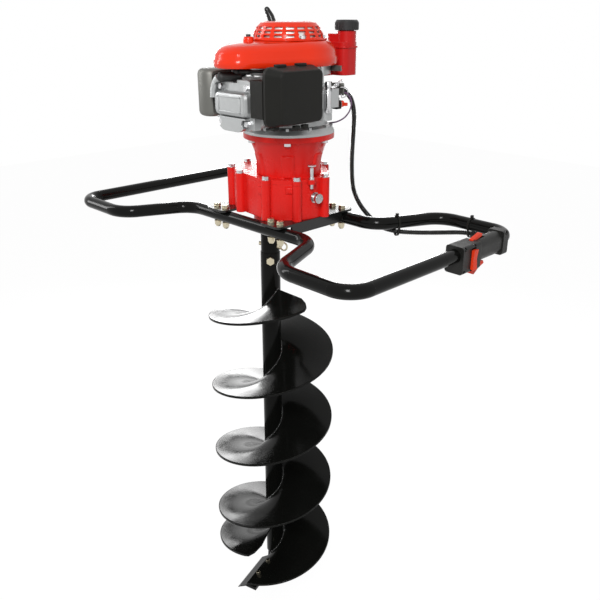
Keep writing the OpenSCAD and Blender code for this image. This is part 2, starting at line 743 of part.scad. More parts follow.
module tube_section(r, bore_r) {
    difference() {
        circle(r = r);
        circle(r = bore_r);
    }
}

frame_line = [[-grip_reach, 0], [-grip_reach, -loop_half_w], [-frame_flare, -loop_half_w],
    [-frame_run, -frame_half_gap], [frame_run, -frame_half_gap], [frame_flare, -loop_half_w],
    [grip_reach, -loop_half_w], [grip_reach, 0]];
frame_bends = [grip_bend_r, waist_bend_r, waist_bend_r, waist_bend_r, waist_bend_r, grip_bend_r];
frame_bolt_r = 4;
frame_bolt_spread = 14;
frame_bolt_places = [for (x = [-1, 1], s = [-1, 1], y = [-1, 1])
    [frame_x + x * plate_reach + s * frame_bolt_spread, y * frame_half_gap]];

module at_frame_bolts() { for (p = frame_bolt_places) translate([p[0], p[1], 0]) children(); }

module half_frame() {
    difference() {
        translate([frame_x, 0, frame_z]) bent_tube(frame_line, frame_bends, frame_r, frame_r - frame_wall);
        at_frame_bolts() translate([0, 0, frame_z - 40]) cylinder(r = frame_bolt_r + bolt_gap, h = 80);
    }
}

module front_tube() { color(BLACK) half_frame(); }
module rear_tube() { color(BLACK) mirror([0, 1, 0]) half_frame(); }

// Cross plate with round ends and a folded outer edge
module cross_plate(side) {
    plate_l = 2 * frame_half_gap + 2 * frame_bolt_spread + 14;
    fold_l = 2 * frame_half_gap - frame_tube_d - 8;
    color([0.2, 0.2, 0.2]) difference() {
        union() {
            translate([frame_x + side * plate_reach, 0, plate_z]) linear_extrude(plate_t)
                round_rect(plate_w, plate_l, 12);
            translate([frame_x + side * (plate_reach + plate_w / 2 - plate_t / 2), 0, plate_z - 9])
                cube([plate_t, fold_l, 19], center = true);
        }
        at_frame_bolts() translate([0, 0, plate_z - 1]) cylinder(r = frame_bolt_r + bolt_gap, h = plate_t + 2);
        at_mount_bolts() translate([0, 0, plate_z - 1]) cylinder(r = mount_bolt_r + bolt_gap, h = plate_t + 2);
        translate([0, 0, boss_low_z]) cylinder(r = case_neck_r + move_gap, h = BIG);
    }
}

module left_cross_plate() { cross_plate(-1); }
module right_cross_plate() { cross_plate(1); }

module frame_bolts() {
    color(ZINC) at_frame_bolts() translate([0, 0, case_z])
        bolt(frame_bolt_r, plate_t + frame_tube_d + 14, 13, 6, 8);
}

// Washer, nut and domed cap under each tube
module frame_nuts() {
    color(ZINC) at_frame_bolts() translate([0, 0, frame_z - frame_r]) difference() {
        union() {
            translate([0, 0, -3.5]) cylinder(r = 8, h = 3.2);
            translate([0, 0, -10]) cylinder(r = 13 / sqrt(3), h = 7, $fn = 6);
            translate([0, 0, -10]) sphere(r = 6);
        }
        translate([0, 0, -15]) cylinder(r = frame_bolt_r + bolt_gap, h = 20);
        translate([-20, -20, -15 - 20]) cube([40, 40, 20]);
    }
}

// Throttle control on the right grip bar: two half shells with a trigger below,
// a lock-out lever on top and a stop rocker on the outer face

switch_y = 42;
grip_y = switch_y + switch_l;
collar_y = grip_y + hand_grip_l;
collar_l = 18;
switch_z = frame_z - 7.5;
hand_z = frame_z - 3;
hand_w = 34;
hand_h = 46;
trigger_pivot = [grip_y - 7, frame_z - 27];
trigger_w = 12;
trigger_slot = trigger_w + 2 * move_gap;
lockout_pivot = [grip_y - 4, frame_z + 19];
lockout_w = 9;
rocker_pivot = [18, switch_z - 2];
rocker_y = switch_y + 34;
rocker_w = 13;
small_pin_r = 2;
screw_r = 2;
screw_places = [[switch_y + 6, switch_z + 23], [switch_y + 6, switch_z - 22], [grip_y - 22, switch_z + 23],
    [collar_y + 9, hand_z + 20]];
conduit_end = [463, 192, 1012];

module at_grip() { translate([grip_x, 0, 0]) children(); }

// Draws its flat child in the X-Z plane at height z and pushes it from y for the length
module push_y(y, z, length) {
    translate([0, y + length, z]) rotate([90, 0, 0]) linear_extrude(length) children();
}

// Draws its flat child, given as Y and Z, in the middle of the grip with width w
module push_x(w) { translate([-w / 2, 0, 0]) rotate([90, 0, 90]) linear_extrude(w) children(); }

module at_screws() { for (p = screw_places) translate([0, p[0], p[1]]) rotate([0, 90, 0]) children(); }

// One half of the control body: side 1 faces out, side -1 faces the engine
module control_half(side) {
    difference() {
        union() {
            push_y(switch_y, switch_z, switch_l) round_rect(switch_w, switch_h, 6);
            push_y(grip_y - 1, hand_z, hand_grip_l + 2) round_rect(hand_w, hand_h, hand_w / 2 - 0.5);
            push_y(collar_y, hand_z, collar_l) round_rect(hand_w + 4, hand_h + 3, 6);
        }
        push_y(switch_y - 1, frame_z, BIG) circle(r = frame_r + run_gap);
        translate([side > 0 ? -BIG : 0, -BIG, frame_z - BIG]) cube([BIG, 2 * BIG, 2 * BIG]);
        // Slots for the trigger and the lock-out lever
        translate([-trigger_slot / 2, grip_y - 14, frame_z - 60]) cube([trigger_slot, 66, 44]);
        translate([-lockout_w / 2 - move_gap, grip_y - 12, frame_z + frame_r + 1])
            cube([lockout_w + 2 * move_gap, 44, 30]);
        // Pocket for the stop rocker
        translate([9, rocker_y - rocker_w / 2 - move_gap, switch_z - 25])
            cube([30, rocker_w + 2 * move_gap, 46]);
        at_screws() translate([0, 0, -12]) cylinder(r = screw_r + bolt_gap, h = 60);
        at_screws() translate([0, 0, hand_w / 2 - 4]) cylinder(r = 4, h = 30);
        translate([conduit_end[0] - grip_x, conduit_end[1] - 0.3, conduit_end[2]]) rotate([-90, 0, 0])
            cylinder(r = conduit_d / 2 + bolt_gap, h = 40);
    }
}

module throttle_housing() {
    reach = trigger_slot / 2;
    lockout_reach = lockout_w / 2 + move_gap;
    color(BLACK) at_grip() {
        control_half(1);
        // Pins of the trigger, the lock-out lever and the rocker
        translate([-reach + 0.3, trigger_pivot[0], trigger_pivot[1]]) rotate([0, 90, 0])
            cylinder(r = small_pin_r, h = 2 * reach);
        translate([-lockout_reach + 0.3, lockout_pivot[0], lockout_pivot[1]]) rotate([0, 90, 0])
            cylinder(r = 1.5, h = 2 * lockout_reach);
        push_y(rocker_y - rocker_w / 2 - move_gap - 1, rocker_pivot[1], rocker_w + 2 * move_gap + 2)
            translate([rocker_pivot[0], 0]) circle(r = 1.5);
    }
}

module throttle_cover() { color(BLACK) at_grip() control_half(-1); }

module grip_screws() {
    color(SILVER) at_grip() at_screws() {
        translate([0, 0, -11]) cylinder(r = screw_r, h = 11 + hand_w / 2 - 4);
        translate([0, 0, hand_w / 2 - 4]) cylinder(r = 3.5, h = 3);
    }
}

// Curved finger lever that swings up into the grip
module trigger() {
    y = trigger_pivot[0];
    z = trigger_pivot[1];
    color(RED) at_grip() difference() {
        push_x(trigger_w) difference() {
            union() {
                translate([y, z]) circle(r = 5);
                polygon([[y - 4, z - 3], [y + 2, z + 4.5], [y + 40, z - 2], [y + 43, z - 8], [y + 28, z - 13],
                    [y + 18, z - 19], [y + 10, z - 24], [y + 5, z - 22]]);
            }
            translate([y + 32, z - 32]) circle(r = 19);
        }
        translate([-BIG / 2, y, z]) rotate([0, 90, 0]) cylinder(r = small_pin_r + run_gap, h = BIG);
    }
}

module lockout_lever() {
    y = lockout_pivot[0];
    z = lockout_pivot[1];
    color(RED) at_grip() difference() {
        push_x(lockout_w) union() {
            translate([y, z]) circle(r = 2.8);
            polygon([[y, z - 2.8], [y + 27, z + 4], [y + 27, z + 9], [y + 23, z + 10], [y - 1, z + 2.6]]);
        }
        translate([-BIG / 2, y, z]) rotate([0, 90, 0]) cylinder(r = 1.5 + run_gap, h = BIG);
    }
}

module stop_rocker() {
    x = rocker_pivot[0];
    color(RED) at_grip() difference() {
        push_y(rocker_y - rocker_w / 2, rocker_pivot[1], rocker_w)
            polygon([[x - 4, 0], [x - 1, -18], [x + 8, -20], [x + 6, 0], [x + 8, 20], [x - 1, 18]]);
        push_y(rocker_y - BIG / 2, rocker_pivot[1], BIG) translate([x, 0]) circle(r = 1.5 + run_gap);
    }
}

// Ribbed conduit with the throttle cable and switch wires: down from the engine,
// under the rear tube and into the control. A mark's last number is the share of a change in the loop's width
// that it follows
loop_drawn_w = 245;
conduit_marks = [[128, 86.5, 1306, 0], [129, 98, 1302, 0], [130, 120, 1284, 0], [125, 137, 1252, 0],
    [118, 145, 1212, 0], [115, 146, 1156, 0], [117, 146, 1112, 0], [125, 145, 1079, 0], [147, 143, 1051, 0],
    [182, 138, 1030, 0], [218, 134, 1017, 0], [251, 143, 1012.5, 1 / 3], [280, 166, 1011, 0.5],
    [306, 190, 1011, 0.7], [335, 217, 1012, 0.9], [352, 233, 1012.5, 1], [374, 243, 1013, 1],
    [405, 244, 1013, 1], [434, 237, 1012.5, 1], [453, 222, 1012, 0.9], [462, 207, 1012, 0.5]];
conduit_route = concat([for (p = conduit_marks) [p[0], p[1] + p[3] * (loop_half_w - loop_drawn_w), p[2]]],
    [conduit_end]);
conduit_ribs = 170;
conduit_rib_h = 0.7;
conduit_bore_r = 3;
conduit_sleeve_l = 60;
conduit_sides = 8;
conduit_ref = [-0.5, 0.5, 0.7];

module control_conduit() {
    line = curve(conduit_route, 6);
    runs = run_lengths(line);
    total = runs[len(runs) - 1];
    pitch = (total - conduit_sleeve_l) / conduit_ribs;
    function along(s) = unit(point_at(line, runs, min(s + 2, total)) - point_at(line, runs, max(s - 2, 0)));
    function at(s, r) = hoop(point_at(line, runs, s), along(s), r, conduit_sides, conduit_ref);
    outer = conduit_d / 2;
    skin = concat([for (s = [0 : conduit_sleeve_l / 4 : conduit_sleeve_l - 1]) at(s, outer)],
        [for (i = [0 : conduit_ribs - 1]) let (s = conduit_sleeve_l + pitch * i)
            each [at(s, outer - conduit_rib_h), at(s + pitch / 2, outer)]],
        [at(total, outer)]);
    bore = [for (k = [60 : -1 : 0]) at(total * k / 60, conduit_bore_r)];
    color(BLACK) ring_skin(concat(skin, bore));
}

tie_w = 5;
tie_t = 1.5;
tie_slack = 3.2;
leg_turn = atan2(loop_half_w - frame_half_gap, frame_flare - frame_run);
leg_start = [frame_run, frame_half_gap];
leg_end = [frame_flare, loop_half_w];
leg_tie = [frame_x, 0] + leg_start + (leg_end - leg_start) / 3;
tie_places = [[[leg_tie[0], leg_tie[1], frame_z], leg_turn, 20], [[374, loop_half_w, frame_z], 0, 19.5]];

// Strap round the tube and the conduit, with its lock head on top
module cable_ties() {
    hang = [0, -1];
    color(BLACK) for (t = tie_places) translate(t[0]) rotate([90, 0, t[1] + 90])
        translate([0, 0, -tie_w / 2]) {
            linear_extrude(tie_w) difference() {
                belt([0, 0], frame_r + tie_t + 0.2, t[2] * hang, conduit_d / 2 + tie_slack + tie_t);
                belt([0, 0], frame_r + 0.2, t[2] * hang, conduit_d / 2 + tie_slack);
            }
            translate([-3, frame_r + tie_t, 0]) cube([6, 5, tie_w]);
        }
}

// Engine

crankcase_top = engine_z + 108;
flange_t = 14;
bore_z = engine_z + 66;
fin_count = 7;
head_y = -118;
head_t = 28;
cover_depth = 16;
head_x = 5;
head_w = 100;
head_h = 94;
cover_w = 98;
cover_h = 48;
cover_lift = 2;
well_t = 12;
rim_r = 42.5;
plug_x = -8;
plug_step = 41;
shroud_arm_turns = [0, 92, 190];

module crankcase() {
    color(SILVER) at_engine() difference() {
        union() {
            translate([0, 0, engine_z]) rotate_extrude() polygon([[0, 0], [flange_r, 0], [flange_r, 5],
                [flange_r - 5, flange_t], [82, flange_t + 4], [78, 40], [72, 60], [66, 70], [66, 108], [0, 108]]);
            // Barrel with cooling fins, towards the head
            translate([0, -50, bore_z]) rotate([90, 0, 0]) cylinder(r = 40, h = -head_y - 50);
            for (i = [0 : fin_count - 1]) push_y(head_y + 4 + 7 * i, bore_z, 3) round_rect(104, 92, 14);
            // Arms that carry the fan shroud
            for (a = shroud_arm_turns) rotate(a) {
                translate([50, -5, engine_z + 94]) cube([shroud_r - 50, 10, 9]);
                translate([shroud_r - 4.5, 0, engine_z + 94]) cylinder(r = 4, h = shroud_low_z - engine_z - 94);
            }
            // Foot ribs over the flange
            for (a = [15 : 30 : 345]) rotate(a) translate([70, -3, engine_z + 4]) cube([22, 6, flange_t]);
        }
        translate([0, 0, engine_z - 1]) cylinder(r = crank_r + run_gap, h = 120);
        at_flange_holes() translate([0, 0, engine_z - 1]) cylinder(r = flange_bolt_r + bolt_gap, h = flange_t);
        // Flats that clear the air cleaner and the muffler
        translate([64 - move_gap, -150, engine_z + 46]) cube([80, 118, 120]);
        translate([-58 - 80, -150, engine_z + 26]) cube([80, 118, 120]);
    }
}

module at_flange_holes() { for (a = flange_bolt_turns) rotate(a) translate([flange_bolt_pcr, 0, 0]) children(); }

module cylinder_head() {
    color(SILVER) at_engine() difference() {
        union() {
            push_y(head_y - head_t, bore_z, head_t) translate([head_x, 0]) round_rect(head_w, head_h, 14);
            // Joint plate on the intake side
            translate([head_x + 44, head_y - head_t, engine_z + 22]) cube([12, 16, 88]);
            // Rounded rim beside the spark plug
            translate([head_x - 15, head_y - head_t - 5, bore_z + 14]) rotate([90, 0, 0]) rotate(125)
                rotate_extrude(angle = 60) translate([rim_r, 0]) round_rect(15, 18, 6);
            // Rounded well below the cam cover
            push_y(head_y - head_t - well_t, bore_z, well_t) intersection() {
                translate([head_x, -22]) round_rect(84, 54, 24);
                translate([head_x - head_w / 2, -head_h])
                    square([head_w, head_h - cover_h / 2 + cover_lift - bolt_gap]);
            }
        }
        at_head_bolts() translate([0, 0, -14]) cylinder(r = 3 + bolt_gap, h = 16);
        at_head_bolts() cylinder(r = 8, h = 30);
        translate([plug_x, head_y - 12, bore_z + 30]) cylinder(r = 7 + bolt_gap, h = 40);
        // Step under the plug cap
        translate([head_x - head_w / 2 - 1, head_y - head_t - 1, bore_z + plug_step]) cube([58, head_t + 2, head_h]);
    }
}

head_bolt_places = [for (x = [-1, 1], z = [-1, 1]) [head_x + x * 38, bore_z + z * 33]];
module at_head_bolts() {
    for (p = head_bolt_places) translate([p[0], head_y - head_t, p[1]]) rotate([90, 0, 0]) children();
}

// Cam cover: a crowned box with a drawn-in rim and a lower bulge
module valve_cover() {
    function level(depth, inset) = [for (p = rect_ring(cover_w - 2 * inset, cover_h - 2 * inset, 12 - inset / 2))
        [head_x + p[0], head_y - head_t - depth, bore_z + cover_lift + p[1]]];
    color(SILVER) at_engine() loft([level(0, 0), level(cover_depth * 0.6, 1.5), level(cover_depth * 0.9, 4),
        level(cover_depth, 8)]);
}

module engine_bolts() {
    color(SILVER) at_engine() {
        at_head_bolts() bolt(3, 12, 10, 6, 6.5);
        for (a = [40 : 100 : 340]) rotate(a) translate([recoil_r - 8, 0, shroud_top_z + 3.3])
            bolt(2.5, 9, 8, 4, 5.5);
    }
}

muffler_box = [40, 100, 76];
muffler_at = [-88, -102, engine_z + 82];
guard_gap = 3;
guard_wall = 2;
guard_r = 22;
// Depth below the guard's ends and inset of its rounded edges
guard_edge = [[0, 8], [2, 4.2], [5, 1.6], [10, 0]];
guard_slot_step = 11;

module muffler() {
    color("dimgray") at_engine() translate(muffler_at) {
        translate([0, 0, -muffler_box[2] / 2]) linear_extrude(muffler_box[2])
            round_rect(muffler_box[0], muffler_box[1], 16);
        translate([muffler_box[0] / 2 - 1, -24, 6]) rotate([0, 90, 0])
            cylinder(r = 11, h = head_x - head_w / 2 - muffler_at[0] - muffler_box[0] / 2 + 1 - bolt_gap);
        // Pads that carry the guard
        for (y = [-1, 1]) translate([-muffler_box[0] / 2 - guard_gap + bolt_gap, 2.5 * guard_slot_step * y, 0])
            rotate([0, 90, 0]) cylinder(r = 2.8, h = guard_gap);
    }
}

// Pressed guard over the muffler's outer side and ends, with rounded edges and louvre slots
module muffler_guard() {
    h = muffler_box[2] + 16;
    grow = guard_gap + guard_wall;
    function level(z, inset) = [for (p = rect_ring(muffler_box[0] + 2 * (grow - inset),
        muffler_box[1] + 2 * (grow - inset), guard_r - inset)) [p[0], p[1], z]];
    function shell(wall) = concat([for (e = guard_edge) level(wall + e[0] - h / 2, wall + e[1])],
        [for (k = [1 : len(guard_edge)]) let (e = guard_edge[len(guard_edge) - k])
            level(h / 2 - wall - e[0], wall + e[1])]);
    color("gray") at_engine() translate(muffler_at) difference() {
        loft(shell(0));
        loft(shell(guard_wall));
        translate([muffler_box[0] / 2 + 2, -BIG / 2, -BIG / 2]) cube([BIG, BIG, BIG]);
        for (i = [-3 : 3]) translate([-muffler_box[0] / 2 - 2 * grow, i * guard_slot_step - 2.5, -26])
            cube([2 * grow - 1, 5, 52]);
    }
}

// Spark plug cap with its elbow
boot_at = [plug_x, head_y - 12, bore_z + 48];

module plug_boot() {
    color(BLACK) at_engine() {
        translate([boot_at[0], boot_at[1], bore_z + 30.5]) cylinder(r = 7, h = 20);
        translate(boot_at) cylinder(r1 = 10, r2 = 9, h = 16);
        translate(boot_at + [0, 0, 12]) sphere(r = 10);
        // Cap barrel towards the front
        translate(boot_at + [6, 6, plug_step - 38]) rotate([90, 0, -26.5]) {
            cylinder(r1 = 8, r2 = 9.5, h = 38);
            translate([0, 0, 38]) sphere(r = 9.5);
        }
        translate(boot_at + [0, 0, 12]) rotate([-90, 0, -50]) cylinder(r1 = 8, r2 = 6, h = 26);
    }
}

// High-tension lead to the coil and the stop switch's wire
lead_dir = [sin(50), cos(50), 0];
lead_exit = boot_at + [engine_x, 0, 12] + 26.2 * lead_dir;
lead_steps = [[0, 0], [12, 0], [26, 1], [40, 3], [52, 4.5]];
lead_route = [for (p = lead_steps) lead_exit + p[0] * lead_dir + [0, 0, p[1]]];
stop_wire_route = [[145, 83, 1300], [152, 86, 1297], [161, 87, 1284], [163, 82, 1267], [157, 73, 1252],
    [145, 63, 1243], [131, 56, 1239.8]];
lead_r = 3;
wire_r = 1.5;

module engine_leads() {
    color(BLACK) cord(lead_route, lead_r, 4, 8, [0, 0, 1]);
    color("plum") cord(stop_wire_route, wire_r, 4, 8, [0.7, -0.7, 0.2]);
}

// Air cleaner: a backing box on the intake and a bevelled cover
cleaner_x = 98;
cleaner_y = -90;
cleaner_z = engine_z + 86;

module air_cleaner_base() {
    color(BLACK) at_engine() difference() {
        translate([64, cleaner_y - 68, cleaner_z - 38]) cube([cleaner_x - 64, 122, 68]);
        translate([60, cleaner_y - 4, cleaner_z]) rotate([0, 90, 0]) cylinder(r = 14, h = 60);
    }
}

module air_cleaner_cover() {
    function level(x, grow, r) = [for (p = rect_ring(cleaner_w + grow, cleaner_h + grow * 0.5, r))
        [cleaner_x + x, cleaner_y + p[0], cleaner_z + p[1]]];
    color(BLACK) at_engine() loft([level(0, 26, 16), level(7, 26, 16), level(cleaner_d - 6, 4, 12),
        level(cleaner_d - 2, 0, 11), level(cleaner_d, -6, 9)]);
}

// Carburettor with its bowl and fuel valve
carb_at = [94, 8, engine_z + 66];
valve_len = 14;

module carburettor() {
    color(SILVER) at_engine() difference() {
        union() {
            translate(carb_at + [-16, -26, -10]) cube([34, 50, 36]);
            translate(carb_at + [3, -2, -34]) cylinder(r = 16, h = 25);
            translate(carb_at + [8, 23, -6]) rotate([-90, 0, 0]) cylinder(r = 7, h = valve_len + 1);
            translate(carb_at + [8, 24 + valve_len - 1, -6]) rotate([-90, 0, 0]) cylinder(r = 3, h = 9);
            translate(carb_at + [-27.2, -10, 12]) rotate([0, 90, 0]) cylinder(r = 9, h = 13);
        }
    }
}

// Winged red fuel tap
module fuel_lever() {
    color("firebrick") at_engine() translate(carb_at + [8, 24 + valve_len + move_gap / 2, -6]) rotate([-90, 0, 0])
        difference() {
            union() {
                cylinder(r = 6.5, h = 7);
                translate([-4, -3, 0]) cube([19, 6, 7]);
            }
            translate([0, 0, -1]) cylinder(r = 3 + run_gap, h = 12);
        }
}

// Control bracket: a plate from the crankcase with the cable's stop and the lever's pivot
bracket_z = engine_z + 92;
lever_at = [64, 58, bracket_z + 3];

module control_bracket() {
    color("silver") at_engine() difference() {
        union() {
            translate([54.5, 38.5, bracket_z]) cube([23.5, 46, 3]);
            translate([56, 81, bracket_z - 20]) cube([22, 3.6, 23]);
            translate([54.5, 38.5, bracket_z - 22]) cube([3, 16, 24]);
            translate(lever_at - [0, 0, 1]) cylinder(r = 3, h = 6);
        }
        translate([conduit_route[0][0] - engine_x, 70, conduit_route[0][2]]) rotate([-90, 0, 0])
            cylinder(r = 1.5, h = 40);
    }
}

module throttle_lever() {
    color("silver") at_engine() translate(lever_at + [0, 0, 0.3]) difference() {
        linear_extrude(3) union() {
            circle(r = 7);
            belt([0, 0], 6, [26, 6], 4);
        }
        translate([0, 0, -1]) cylinder(r = 3 + run_gap, h = 8);
    }
}

// Fan shroud: a round cowl drawn out to a nose over the cylinder head

shroud_low_z = engine_z + 134;
shroud_top_z = shroud_low_z + shroud_h;
shroud_wall = 3;
shroud_steps = 60;
shroud_hole_r = recoil_r - 16;

function egg(a, inset) =
    -sin(a) > (shroud_r - nose_r) / nose_reach
        ? [0, -nose_reach] + (nose_r - inset) * [cos(a), sin(a)]
        : (shroud_r - inset) * [cos(a), sin(a)];
function nose_share(y) = max(0, -y - recoil_r) / (nose_reach + nose_r - recoil_r);
function egg_ring(inset, z, lean = 0) = [for (i = [0 : shroud_steps - 1])
    let (p = egg(360 * i / shroud_steps, inset)) [p[0], p[1], z - lean * nose_drop * nose_share(p[1])]];
function round_ring(r, z) = [for (i = [0 : shroud_steps - 1])
    let (a = 360 * i / shroud_steps) [r * cos(a), r * sin(a), z]];

module fan_shroud() {
    low = shroud_low_z;
    top = shroud_top_z;
    t = shroud_wall;
    color(RED) at_engine() difference() {
        ring_skin([egg_ring(3, low), egg_ring(0, low + 4), egg_ring(0.5, low + 16, 0.2), egg_ring(2.5, low + 18, 0.2),
            egg_ring(4, low + 29, 0.5), egg_ring(9, low + 38, 0.8), egg_ring(17, top - 2.5, 1), egg_ring(25, top, 1),
            round_ring(recoil_r - 4, top), round_ring(shroud_hole_r, top), round_ring(shroud_hole_r, top - t),
            round_ring(recoil_r - 4, top - t), egg_ring(25, top - t, 1), egg_ring(18.5, top - 5, 1),
            egg_ring(11, low + 36, 0.8), egg_ring(7, low + 28, 0.5), egg_ring(6, low + 18, 0.2), egg_ring(6, low)]);
        handle_place() translate([0, 0, -20]) cylinder(r = rope_r + move_gap, h = 60);
        for (a = [40 : 100 : 340]) rotate(a) translate([recoil_r - 8, 0, top - 20])
            cylinder(r = 2.5 + bolt_gap, h = 40);
    }
}

// Recoil cover: a slotted dome over the starter pulley
recoil_z = shroud_top_z;
dome_wall = 3;
post_r = 8;
slot_w = 16;
slot_h = 4;
slot_step = 7.5;

module recoil_profile(inset) {
    polygon([[0, 0], [recoil_r - 5 - inset, 0], [recoil_r - 8 - inset, 11], [recoil_r - 16 - inset, recoil_h - 8],
        [recoil_r - 22 - inset, recoil_h - 2 - inset], [recoil_r - 30, recoil_h - inset], [0, recoil_h - inset]]);
}

module recoil_cover() {
    color(RED) at_engine() translate([0, 0, recoil_z]) difference() {
        union() {
            difference() {
                union() {
                    rotate_extrude() recoil_profile(0);
                    cylinder(r = recoil_r, h = 3);
                }
                translate([0, 0, -EPS]) rotate_extrude() recoil_profile(dome_wall);
                // Three rows of air slots
                for (row = [0 : 2], i = [0 : 17]) rotate(20 * i)
                    translate([recoil_r - 26, -slot_w / 2, 5.5 + slot_step * row]) cube([40, slot_w, slot_h]);
                for (i = [0 : 23]) rotate(15 * i) translate([30, -1.5, recoil_h - 10]) cube([16, 3, 20]);
            }
            translate([0, 0, -10]) cylinder(r = post_r, h = recoil_h + 8);
        }
        for (a = [40 : 100 : 340]) rotate(a) translate([recoil_r - 8, 0, -5]) cylinder(r = 2.5 + bolt_gap, h = 9);
        for (a = [40 : 100 : 340]) rotate(a) translate([recoil_r - 8, 0, 3.2]) cylinder(r = 7, h = 12);
    }
}

pulley_r = 60;

module recoil_pulley() {
    color(SILVER) at_engine() translate([0, 0, recoil_z - 6]) difference() {
        union() {
            ring(pulley_r, post_r + run_gap, 2);
            ring(pulley_r - 18, post_r + run_gap, 14);
            translate([0, 0, 12]) ring(pulley_r, post_r + run_gap, 2);
        }
        for (a = [0 : 60 : 300]) rotate(a) translate([26, 0, -1]) cylinder(r = 8, h = 20);
    }
}

// Starter grip: a curved tapering handle on its rope end, which passes down through the shroud
handle_turn = 157;
handle_reach = shroud_r - 12;
handle_lean = 24;
// Stations of the bent horn that the fingers hold, with their radii
horn = [[[0, -3, 11], 6], [[-1, -3, 25], 8.5], [[-4, 2, 44], 8], [[-8, 9, 57], 6]];
rope_r = 2;
rope_l = 34;

module handle_place() {
    rotate(handle_turn) translate([handle_reach, 0, shroud_top_z]) rotate([0, handle_lean, 0]) children();
}

module pull_handle() {
    color(BLACK) at_engine() handle_place() {
        translate([0, 0, -rope_l]) cylinder(r = rope_r, h = rope_l + 8);
        for (i = [0 : len(horn) - 2]) hull() {
            translate(horn[i][0]) sphere(r = horn[i][1], $fn = 24);
            translate(horn[i + 1][0]) sphere(r = horn[i + 1][1], $fn = 24);
        }
    }
}

// Fuel tank behind the shroud, with a pressed seam and a filler neck
tank_x = -12;
tank_y = shroud_r + 6 + tank_w / 2;
tank_low_z = crankcase_top;
tank_seam_z = tank_low_z + tank_h;
neck_at = [38, tank_y + 2];
neck_r = 20;
neck_h = 38;
shoulder_at = neck_at - [26, 14];

module fuel_tank() {
    color(RED) at_engine() difference() {
        union() {
            translate([tank_x, tank_y, tank_low_z]) linear_extrude(tank_h + 10) round_rect(tank_l, tank_w, 16);
            translate([tank_x, tank_y, tank_seam_z - 1.5]) linear_extrude(3) round_rect(tank_l + 5, tank_w + 5, 18);
            translate([neck_at[0], neck_at[1], tank_seam_z]) cylinder(r = neck_r, h = neck_h - 6);
            translate([neck_at[0], neck_at[1], tank_seam_z]) cylinder(r = neck_r - 4, h = neck_h);
            // Shoulder beside the neck
            translate([0, 0, tank_seam_z]) linear_extrude(neck_h - 12) belt(neck_at, neck_r - 2, shoulder_at, 11);
            // Strap feet on the crankcase
            for (x = [-32, 6]) translate([x, 50, crankcase_top]) cube([20, tank_y - 54, 4]);
        }
        translate([neck_at[0], neck_at[1], tank_seam_z + 8]) cylinder(r = neck_r - 7, h = 60);
    }
}

module fuel_cap() {
    cap_r = cap_d / 2;
    color([0.25, 0.25, 0.25]) at_engine() translate([neck_at[0], neck_at[1], tank_seam_z + neck_h - 5]) difference() {
        union() {
            cylinder(r = cap_r - 1, h = 17);
            translate([0, 0, 17]) cylinder(r1 = cap_r - 1, r2 = cap_r - 4, h = 3);
            for (a = [0 : 15 : 345]) rotate(a) translate([cap_r - 2, -1.2, 1]) cube([2, 2.4, 14]);
        }
        translate([0, 0, -1]) cylinder(r = neck_r - 4 + move_gap, h = 6 + move_gap);
    }
}

flywheel_z = crankcase_top + 8;

module crankshaft() {
    low = hub_z - 2;
    color("gray") at_engine() {
        translate([0, 0, low]) cylinder(r = crank_r, h = flywheel_z + 36 - low);
        translate([0, 0, flywheel_z + 34]) cylinder(r = 8, h = 10);
    }
}

// Flywheel with the cooling fan's vanes
module flywheel() {
    color(SILVER) at_engine() translate([0, 0, flywheel_z]) difference() {
        union() {
            cylinder(r = 86, h = 18);
            cylinder(r = 24, h = 30);
            for (a = [0 : 24 : 336]) rotate(a) translate([34, -1.5, 17]) cube([26, 3, 20]);
        }
        translate([0, 0, -1]) cylinder(r = crank_r + run_gap, h = 60);
        translate([0, 0, -1]) ring(70, 40, 10);
    }
}

auger_tube();
auger_flight();
starter_flight();
cutting_blades();
auger_bolts();
pilot_point();
drive_socket();
lock_pin();
output_shaft();
output_gear();
gear_case();
bell_housing();
gearbox_bolts();
breather_plug();
oil_plug();
gearbox_bearings();
output_seal();
layshaft();
layshaft_gear();
pinion_shaft();
clutch_drum();
crankshaft();
clutch_hub();
flywheel();
clutch_shoe_a();
clutch_shoe_b();
front_tube();
rear_tube();
left_cross_plate();
right_cross_plate();
frame_bolts();
frame_nuts();
throttle_housing();
throttle_cover();
grip_screws();
trigger();
lockout_lever();
stop_rocker();
control_conduit();
cable_ties();
crankcase();
cylinder_head();
valve_cover();
engine_bolts();
muffler();
muffler_guard();
plug_boot();
engine_leads();
air_cleaner_base();
air_cleaner_cover();
carburettor();
control_bracket();
throttle_lever();
fan_shroud();
recoil_cover();
recoil_pulley();
pull_handle();
fuel_tank();
fuel_cap();
fuel_lever();
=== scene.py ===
import math
import bmesh
import bpy
from mathutils import Matrix, Vector


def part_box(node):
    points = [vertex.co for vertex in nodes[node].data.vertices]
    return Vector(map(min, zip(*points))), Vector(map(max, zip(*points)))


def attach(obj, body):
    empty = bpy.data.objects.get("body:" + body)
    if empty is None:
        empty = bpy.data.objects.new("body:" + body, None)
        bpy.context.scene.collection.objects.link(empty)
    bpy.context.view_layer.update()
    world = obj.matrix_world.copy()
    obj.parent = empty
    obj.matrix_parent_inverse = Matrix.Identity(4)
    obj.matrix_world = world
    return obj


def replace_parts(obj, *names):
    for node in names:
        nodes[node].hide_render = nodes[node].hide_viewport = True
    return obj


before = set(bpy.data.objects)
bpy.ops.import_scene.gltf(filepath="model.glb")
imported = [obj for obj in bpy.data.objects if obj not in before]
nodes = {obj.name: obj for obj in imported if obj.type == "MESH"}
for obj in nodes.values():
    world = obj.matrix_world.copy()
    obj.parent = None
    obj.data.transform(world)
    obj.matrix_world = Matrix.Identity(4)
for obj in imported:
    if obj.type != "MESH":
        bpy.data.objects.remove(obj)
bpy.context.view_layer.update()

# Studio: the machine stands on its point on a pale sheet under soft light,
# seen from above its front right corner.
scene = bpy.context.scene
